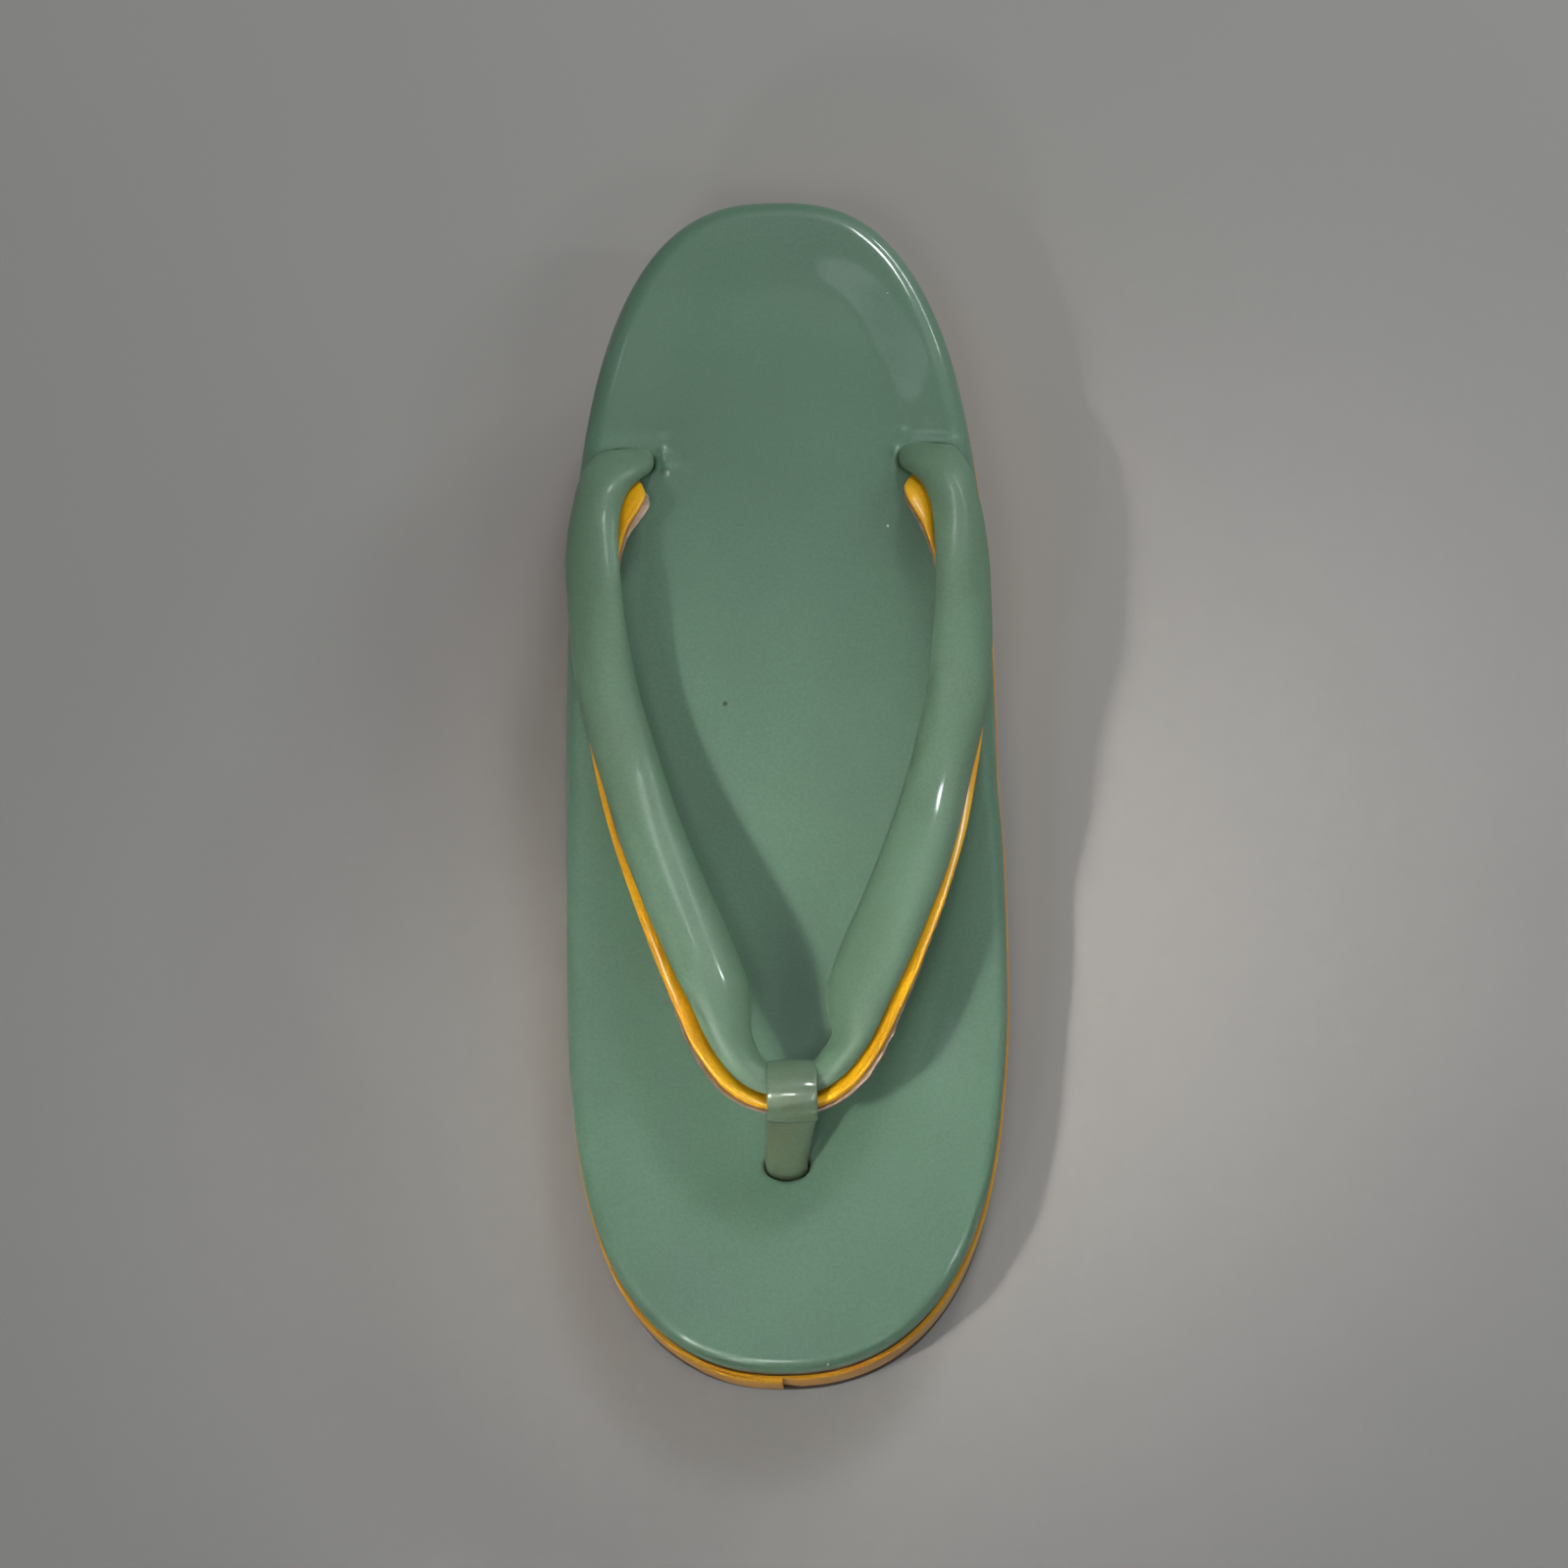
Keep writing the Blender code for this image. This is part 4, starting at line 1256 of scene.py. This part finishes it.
    def edges(self, along: float, side: Side, column: int) -> list[float]:
        """How far the outer and inner edge of the tube (1) or the lining (2) stand out."""
        tables = self.left_edges if side is Side.LEFT else self.right_edges
        return [column_at(rows, column, along) for rows in tables]

    def lean_at(self, y: Array) -> Array:
        """Sideways shift of the strap towards its front end."""
        back, front = SOLE.station_y(self.slot_station), SOLE.station_y(self.loop_station)
        return self.front_lean * smooth_step((back - y) / (back - front) / self.lean_reach)

    def sweep(self, section: Callable[[dict, Side], Array]) -> Array:
        """Points of the whole strap, from the left slot through the loop to the right slot.

        Args:
            section: Gives one station's section on one side, in the right half's frame.

        Returns:
            Stations by section points by three.
        """
        stations = self.stations()
        mirror = np.array([-1.0, 1.0, 1.0])
        left = [section(station, Side.LEFT) * mirror for station in stations[:0:-1]]
        right = [section(station, Side.RIGHT) for station in stations]
        points = np.array(left + right)
        points[..., 0] += self.lean_at(points[..., 1])
        return points


STRAP = StrapForm()


def section_points(middle: Array, station: dict, across: Array, up: Array) -> Array:
    """Points of a flat section in a station's frame."""
    return middle + np.outer(across, station["across"]) + np.outer(up, station["up"])


def widened(across: Array, width: float, outer: float, inner: float) -> Array:
    """Places across a section with its outer and inner edge moved out."""
    return across * np.where(across > 0, 1 + 2 * outer / width, 1 + 2 * inner / width)


@dataclass
class StrapTube:
    """Padded green tube on the strap's back, one piece from slot to slot."""

    sides: int = 56
    low_share: float = 0.20
    power: float = 2.2
    pinch: float = 0.26
    pinch_reach: float = 0.05
    fill: float = 0.9
    # Columns: along, then how far the left and the right tube bulge out over the sole's edge
    bulges: Rows = (
        (0.60, 0.0, 0.0), (0.70, 0.0, 0.0), (0.756, 0.1, 0.1), (0.82, 0.9, 0.6), (0.87, 1.3, 0.9),
        (0.91, 1.5, 1.2), (0.95, 1.7, 1.6), (0.985, 1.2, 1.2), (1.00, 0.8, 0.9), (1.06, 0.3, 0.3),
    )
    # Columns: along, then how far the loop dents the inner side of the left and the right tube
    dents: Rows = (
        (0.00, 0.0, 0.0), (0.015, 0.3, 0.4), (0.036, 0.9, 1.3), (0.05, 1.2, 2.2), (0.064, 1.4, 2.7),
        (0.08, 1.2, 2.0), (0.107, 0.6, 0.9), (0.15, 0.0, 0.0), (1.06, 0.0, 0.0),
    )
    # Columns: along, reach along, degrees round the tube, reach in degrees, share of the section
    wrinkles: Rows = (
        (0.05, 0.055, 150, 16, -0.10), (0.05, 0.055, 120, 14, 0.05),
        (0.03, 0.03, 62, 12, -0.05), (0.965, 0.02, 110, 25, -0.05),
    )
    ripple_share: float = 0.010
    ripple_run: float = 150.0
    ripple_round: float = 7.0
    ripple_length: float = 34.0

    def section(self, station: dict, side: Side) -> Array:
        """Section of the tube at one station, with its dents and puckers."""
        width, height = station["strap"]
        along = station["along"]
        low = height * self.low_share
        middle = station["centre"] + station["up"] * (SOLE.clearance / 2 + low)
        pairs = oval(width / 2, height - low, low, self.sides, self.power)
        pairs[:, 0] = widened(pairs[:, 0], width, *STRAP.edges(along, side, 1))
        pairs = pairs * (1 + self.relief(along, side))[:, None]
        pinched = 1 - self.pinch * bump_at(along, 0.0, self.pinch_reach)
        pairs[:, 1] *= np.where(pairs[:, 1] > 0, pinched, 1.0)
        points = section_points(middle, station, pairs[:, 0], pairs[:, 1])
        column = 1 if side is Side.LEFT else 2
        outward = (points[:, 0] - station["centre"][0]) / (width / 2)
        points[:, 0] += column_at(self.bulges, column, along) * smooth_step((outward + 1) / 2)
        points[:, 0] += column_at(self.dents, column, along) * smooth_step((1 - outward) / 2)
        return points

    def relief(self, along: float, side: Side) -> Array:
        """Share by which the section swells or sinks: 0 degrees is outwards, 90 is up."""
        angle = np.linspace(0, 2 * math.pi, self.sides + 1)
        run = along * self.ripple_run + np.sin(angle) * self.ripple_round
        seed = 3 if side is Side.RIGHT else 8
        waves = ripple(run, np.cos(angle) * self.ripple_round, self.ripple_length, seed)
        relief = self.ripple_share * waves
        for place, reach, degrees, reach_round, share in self.wrinkles:
            near = bump_at(along, place, reach) * bump_at(np.degrees(angle), degrees, reach_round)
            relief = relief + share * near
        return relief

    def build(self) -> None:
        """Tube as one closed mesh."""
        points = STRAP.sweep(self.section)
        material = STRAP_VINYL.material()
        Modeller.make("strap_tube", [points], material, Slot.GREEN, "strap", fill=self.fill)


@dataclass
class StrapLining:
    """Yellow vinyl lining under the strap, on a raw cloth backing whose edge shows."""

    sides: int = 72
    low_share: float = 0.55
    power: float = 2.6
    fill: float = 0.8
    fold_depth: float = 0.22 * MM
    fold_place: float = -14.0
    fold_reach: float = 9.0
    backing_thickness: float = 0.55 * MM
    backing_share: float = 0.45
    backing_sides: int = 16
    backing_power: float = 3.0
    # Height and wavelength in millimetres of the backing's ragged edge
    ragged: tuple[float, float] = (0.16, 3.2)
    ragged_run: float = 150.0
    # Columns: millimetres, along and reach of the places where the backing sticks out
    fringe: Place = (0.5, 0.90, 0.05)
    front_fringe: Place = (0.55, 0.03, 0.07)
    tab: Place = (1.6, 0.912, 0.030)
    tab_power: float = 0.7

    def section(self, station: dict, side: Side) -> Array:
        """Section of the yellow lining at one station."""
        width, thickness = station["lining"]
        low = thickness * self.low_share
        middle = station["centre"] - station["up"] * (SOLE.clearance / 2 + thickness - low)
        middle = middle + station["across"] * station["shift"]
        pairs = oval(width / 2, thickness - low, low, self.sides, self.power)
        degrees = np.linspace(0, 360, self.sides + 1)
        for turn in (0, 360):
            pairs[:, 0] -= self.fold_depth * bump_at(degrees, turn + self.fold_place, self.fold_reach)
        across = widened(pairs[:, 0], width, *STRAP.edges(station["along"], side, 2))
        return section_points(middle, station, across, pairs[:, 1])

    def backing_section(self, station: dict, side: Side) -> Array:
        """Section of the cloth backing, ragged at its inner edge near the slots."""
        width, thickness = station["lining"]
        along = station["along"]
        seed = 5 if side is Side.RIGHT else 2
        height, length = self.ragged
        place = np.array([along * self.ragged_run])
        ragged = height * MM * float(ripple(place, np.zeros(1), length, seed)[0])
        outer, inner = (width * self.backing_share + ragged + more for more in STRAP.edges(along, side, 2))
        outer += self.front_fringe[0] * MM * bump_at(along, *self.front_fringe[1:])
        inner += self.fringe[0] * MM * bump_at(along, *self.fringe[1:])
        if side is Side.LEFT:
            inner += self.tab[0] * MM * bump_at(along, *self.tab[1:]) ** self.tab_power
        down = SOLE.clearance / 2 + thickness + self.backing_thickness * 0.1
        middle = station["centre"] - station["up"] * down + station["across"] * station["shift"]
        pairs = oval(1.0, 1.0, 1.0, self.backing_sides, self.backing_power)
        across = np.where(pairs[:, 0] > 0, outer, inner) * pairs[:, 0]
        return section_points(middle, station, across, pairs[:, 1] * self.backing_thickness / 2)

    def build(self) -> None:
        """Lining and backing, each one closed mesh."""
        node = "strap_lining"
        lining, backing = STRAP.sweep(self.section), STRAP.sweep(self.backing_section)
        vinyl, cloth = LINING_VINYL.material(), ClothFinish().material()
        Modeller.make("strap_lining_pad", [lining], vinyl, Slot.YELLOW, node, fill=self.fill)
        Modeller.make("strap_backing", [backing], cloth, Slot.YELLOW, node)


@dataclass
class ToePost:
    """Vinyl strip looped round the strap's point and gathered into a stem."""

    width: float = 9.9 * MM
    slide: float = 0.7 * MM
    strip: float = 1.2 * MM
    strip_sides: int = 36
    strip_power: float = 5.0
    crown: float = 0.25 * MM
    ease: float = 0.2 * MM
    hang: float = 1.6 * MM
    slack: float = 1.3 * MM
    loop_steps: int = 120
    loop_power: float = 2.5
    # Extra width below the strap, where it starts and how soon it is reached
    low_widening: float = 0.03
    widening_start: float = 1.0 * MM
    widening_reach: float = 5 * MM
    # Columns in millimetres and degrees: x, turn round the loop, height, reach in x, reach in turn
    creases: Rows = (
        (-2.9, -3, 0.45, 1.1, 6), (-0.6, -12, -0.50, 1.3, 7), (2.8, -9, -0.40, 2.2, 5),
        (3.0, 3, 0.22, 2.0, 7), (-4.6, -10, -0.50, 0.9, 7), (0.4, 30, 0.10, 2.5, 20),
    )
    station: float = 0.176
    foot_x: float = 0.4 * MM
    foot_width: float = 8.4 * MM
    foot_depth: float = 4.6 * MM
    pinch_depth: float = 3.4 * MM
    dish: float = 0.9 * MM
    stem_sides: int = 48
    stem_substeps: int = 12
    stem_power: float = 2.05
    # Columns: millimetres above the footbed, then the shares of the way to the loop's place,
    # to its width and to the pinched depth
    stem: Rows = (
        (-6.0, 0.00, 0.0, 0.0), (0.9, 0.00, 0.0, 0.0), (3.8, 0.16, 0.2, 0.1),
        (7.6, 0.42, 0.6, 0.5), (10.8, 0.68, 1.0, 1.0), (13.0, 0.86, 1.0, 1.0),
    )

    def loop_frame(self) -> dict:
        """Frame of the strap inside the loop."""
        station = STRAP.stations()[0]
        station["centre"] = station["centre"] + np.array([STRAP.front_lean, 0, 0])
        return station

    def loop_points(self) -> Array:
        """Strip round the strap: steps round the loop by points of the strip's section."""
        station = self.loop_frame()
        grow = self.ease + self.strip / 2
        half = max(station["strap"][0], station["lining"][0]) / 2 + grow
        above = station["strap"][1] * (1 - StrapTube.pinch) + grow
        below = station["lining"][1] + grow + self.hang
        path = oval(half, above, below, self.loop_steps, self.loop_power)
        path[:, 0] += self.slack * np.clip(path[:, 0], 0, None) / half
        tangent = np.roll(path[:-1], -1, axis=0) - np.roll(path[:-1], 1, axis=0)
        tangent = np.vstack([tangent, tangent[:1]])
        normal = np.stack([tangent[:, 1], -tangent[:, 0]], axis=1)
        normal /= np.linalg.norm(normal, axis=1)[:, None]
        across, thick = oval(
            self.width / 2, self.strip / 2, self.strip / 2, self.strip_sides, self.strip_power
        ).T
        rows = []
        for step, (place, out) in enumerate(zip(path, normal)):
            world = place[0] * station["across"] + place[1] * station["up"]
            world_out = out[0] * station["across"] + out[1] * station["up"]
            low = smooth_step((-world[2] - self.widening_start) / self.widening_reach)
            height = thick + self.crown * (1 - (across / (self.width / 2)) ** 2)
            turn = 360 * step / self.loop_steps
            for place_x, place_turn, lift, reach_x, reach_turn in self.creases:
                near = bump_at(turn, place_turn, reach_turn) + bump_at(turn, place_turn + 360, reach_turn)
                height = height + lift * MM * near * bump_at(across, place_x * MM, reach_x * MM)
            row = station["centre"] + world + np.outer(height, world_out)
            row[:, 0] += across * (1.0 + self.low_widening * low) + self.slide
            rows.append(row)
        return np.array(rows)

    def stem_points(self) -> Array:
        """Gathered stem from inside its hole up to the loop."""
        centre = self.loop_frame()["centre"]
        foot_y = SOLE.station_y(self.station)
        surface = SOLE.top_height(foot_y) - self.dish
        loop_x = STRAP.front_lean + self.slide
        points = []
        for lift, back, wide, deep in through_rows(np.array(self.stem), self.stem_substeps):
            middle = np.array([
                self.foot_x + (loop_x - self.foot_x) * back,
                foot_y + (centre[1] - foot_y) * back, surface + lift * MM,
            ])
            half = (self.foot_width + (self.width - self.foot_width) * wide) / 2
            depth = (self.foot_depth + (self.pinch_depth - self.foot_depth) * deep) / 2
            pairs = oval(half, depth, depth, self.stem_sides, self.stem_power)
            points.append(middle + np.column_stack([pairs, np.zeros(len(pairs))]))
        return np.array(points)

    def build(self) -> None:
        """Loop and stem, each one closed mesh."""
        # The stem's vinyl is darker than the loop's: painted shade.
        for name, points, finish in (
            ("toe_loop", self.loop_points(), POST_VINYL), ("toe_stem", self.stem_points(), SHADED_STEM_VINYL),
        ):
            Modeller.make(name, [points], finish.material(), Slot.GREEN, "toe_post")


@dataclass(frozen=True)
class Lamp:
    """Soft lamp: place, aim and size in metres, power in watts."""

    name: str
    place: Place
    width: float
    height: float
    power: float
    colour: Place = (1.0, 1.0, 1.0)
    aim: Place = (0.0, 0.0, 0.03)
    spread: float = 180.0

    def build(self) -> None:
        """Add the lamp, turned towards its aim."""
        bpy.ops.object.light_add(type="AREA", location=self.place)
        lamp = bpy.context.active_object
        lamp.name = self.name
        lamp.data.shape = "RECTANGLE"
        lamp.data.size = self.width
        lamp.data.size_y = self.height
        lamp.data.energy = self.power
        lamp.data.color = self.colour
        lamp.data.spread = math.radians(self.spread)
        away = Vector(self.aim) - Vector(self.place)
        lamp.rotation_euler = away.to_track_quat("-Z", "Y").to_euler()


@dataclass
class Studio:
    """Plain pale floor, soft lamps and the camera at the photograph's angle."""

    camera_place: Place = (40.3 * MM, -376.6 * MM, 1178.0 * MM)
    first_aim: Place = (47.3 * MM, -3.74 * MM, 30.0 * MM)
    aim: Place = (0.5 * MM, 1.0 * MM, 26.0 * MM)
    lens: float = 138.0
    sensor: float = 36.0
    floor_size: float = 6.0
    floor_gap: float = 0.05 * MM
    floor_colour: Colour = (0.350, 0.343, 0.328, 1.0)
    world_colour: Colour = (0.80, 0.82, 0.85, 1.0)
    world_strength: float = 0.18
    lamps: tuple[Lamp, ...] = (
        Lamp(
            "front_left_lamp", (-0.64, -0.54, 1.10), 0.11, 0.11, 0.060, (1.0, 0.97, 0.92),
            (0.03, -0.035, 0.0), 10.8,
        ),
        Lamp("back_right_lamp", (0.29, 0.72, 1.13), 0.24, 0.24, 4.6, (0.96, 0.99, 1.0)),
        Lamp("front_right_lamp", (0.50, -0.52, 1.11), 0.20, 0.20, 1.0, (1.0, 0.98, 0.95)),
        Lamp("overhead_lamp", (-0.08, -0.49, 1.20), 0.16, 0.16, 1.6, (1.0, 1.0, 1.0)),
        Lamp("toe_lamp", (-0.35, -0.88, 0.86), 0.10, 0.10, 1.0, (1.0, 1.0, 1.0)),
        Lamp("side_window", (0.78, 0.86, 0.62), 0.60, 0.07, 4.2, (0.94, 0.98, 1.0)),
        Lamp("ceiling_window", (-0.30, 0.26, 1.32), 0.30, 0.30, 0.3, (0.86, 0.93, 1.0)),
        Lamp("right_window", (0.88, -0.10, 1.02), 0.05, 0.20, 1.0, (0.90, 0.96, 1.0)),
    )

    def build_camera(self) -> None:
        """Camera at the photograph's place, swung to the sandal without rolling the picture."""
        bpy.ops.object.camera_add(location=self.camera_place)
        camera = bpy.context.active_object
        camera.name = "photo_camera"
        camera.data.sensor_width = self.sensor
        camera.data.lens = self.lens
        place = Vector(self.camera_place)
        first = (Vector(self.first_aim) - place).normalized()
        swing = first.rotation_difference((Vector(self.aim) - place).normalized())
        camera.rotation_mode = "QUATERNION"
        camera.rotation_quaternion = swing @ first.to_track_quat("-Z", "Y")
        bpy.context.scene.camera = camera

    def build_floor(self) -> None:
        """Wide matt floor."""
        bpy.ops.mesh.primitive_plane_add(size=self.floor_size, location=(0, 0, -self.floor_gap))
        floor = bpy.context.active_object
        floor.name = "studio_floor"
        material, graph, shader = new_material("studio_floor")
        cloud = graph.ramp(graph.noise(graph.place(), 3.0, 3.0), 0.3, 0.7, 0.0, 1.0)
        darker = tuple(0.95 * value for value in self.floor_colour[:3]) + (1.0,)
        graph.tree.links.new(graph.mix(cloud, self.floor_colour, darker), shader.inputs["Base Color"])
        shader.inputs["Roughness"].default_value = 0.9
        shader.inputs["Specular IOR Level"].default_value = 0.1
        floor.data.materials.append(material)

    def build_light(self) -> None:
        """Dim even surroundings and the lamps."""
        world = bpy.data.worlds.new("studio_world")
        world.use_nodes = True
        background = world.node_tree.nodes["Background"]
        background.inputs["Color"].default_value = self.world_colour
        background.inputs["Strength"].default_value = self.world_strength
        bpy.context.scene.world = world
        for lamp in self.lamps:
            lamp.build()

    def build(self) -> None:
        """Everything round the sandal, shown without a film curve so that its colours hold."""
        bpy.context.scene.view_settings.view_transform = "Standard"
        self.build_camera()
        self.build_floor()
        self.build_light()


def dress_wedge() -> None:
    """Cork finish on the CAD wedge, which keeps its own mesh."""
    wedge = frame["nodes"]["wedge"]
    wedge.data.materials.clear()
    wedge.data.materials.append(CorkFinish().material())
    LOG.info("wedge: CAD mesh, new finish")


def main() -> None:
    """Build the studio and dress the sandal, from the camera to the toe post."""
    logging.basicConfig(level=logging.INFO, format="%(name)s %(message)s")
    Studio().build()
    dress_wedge()
    Outsole().build()
    SideTape().build()
    Footbed().build()
    StrapTube().build()
    StrapLining().build()
    ToePost().build()


if __name__ == "__main__":
    main()
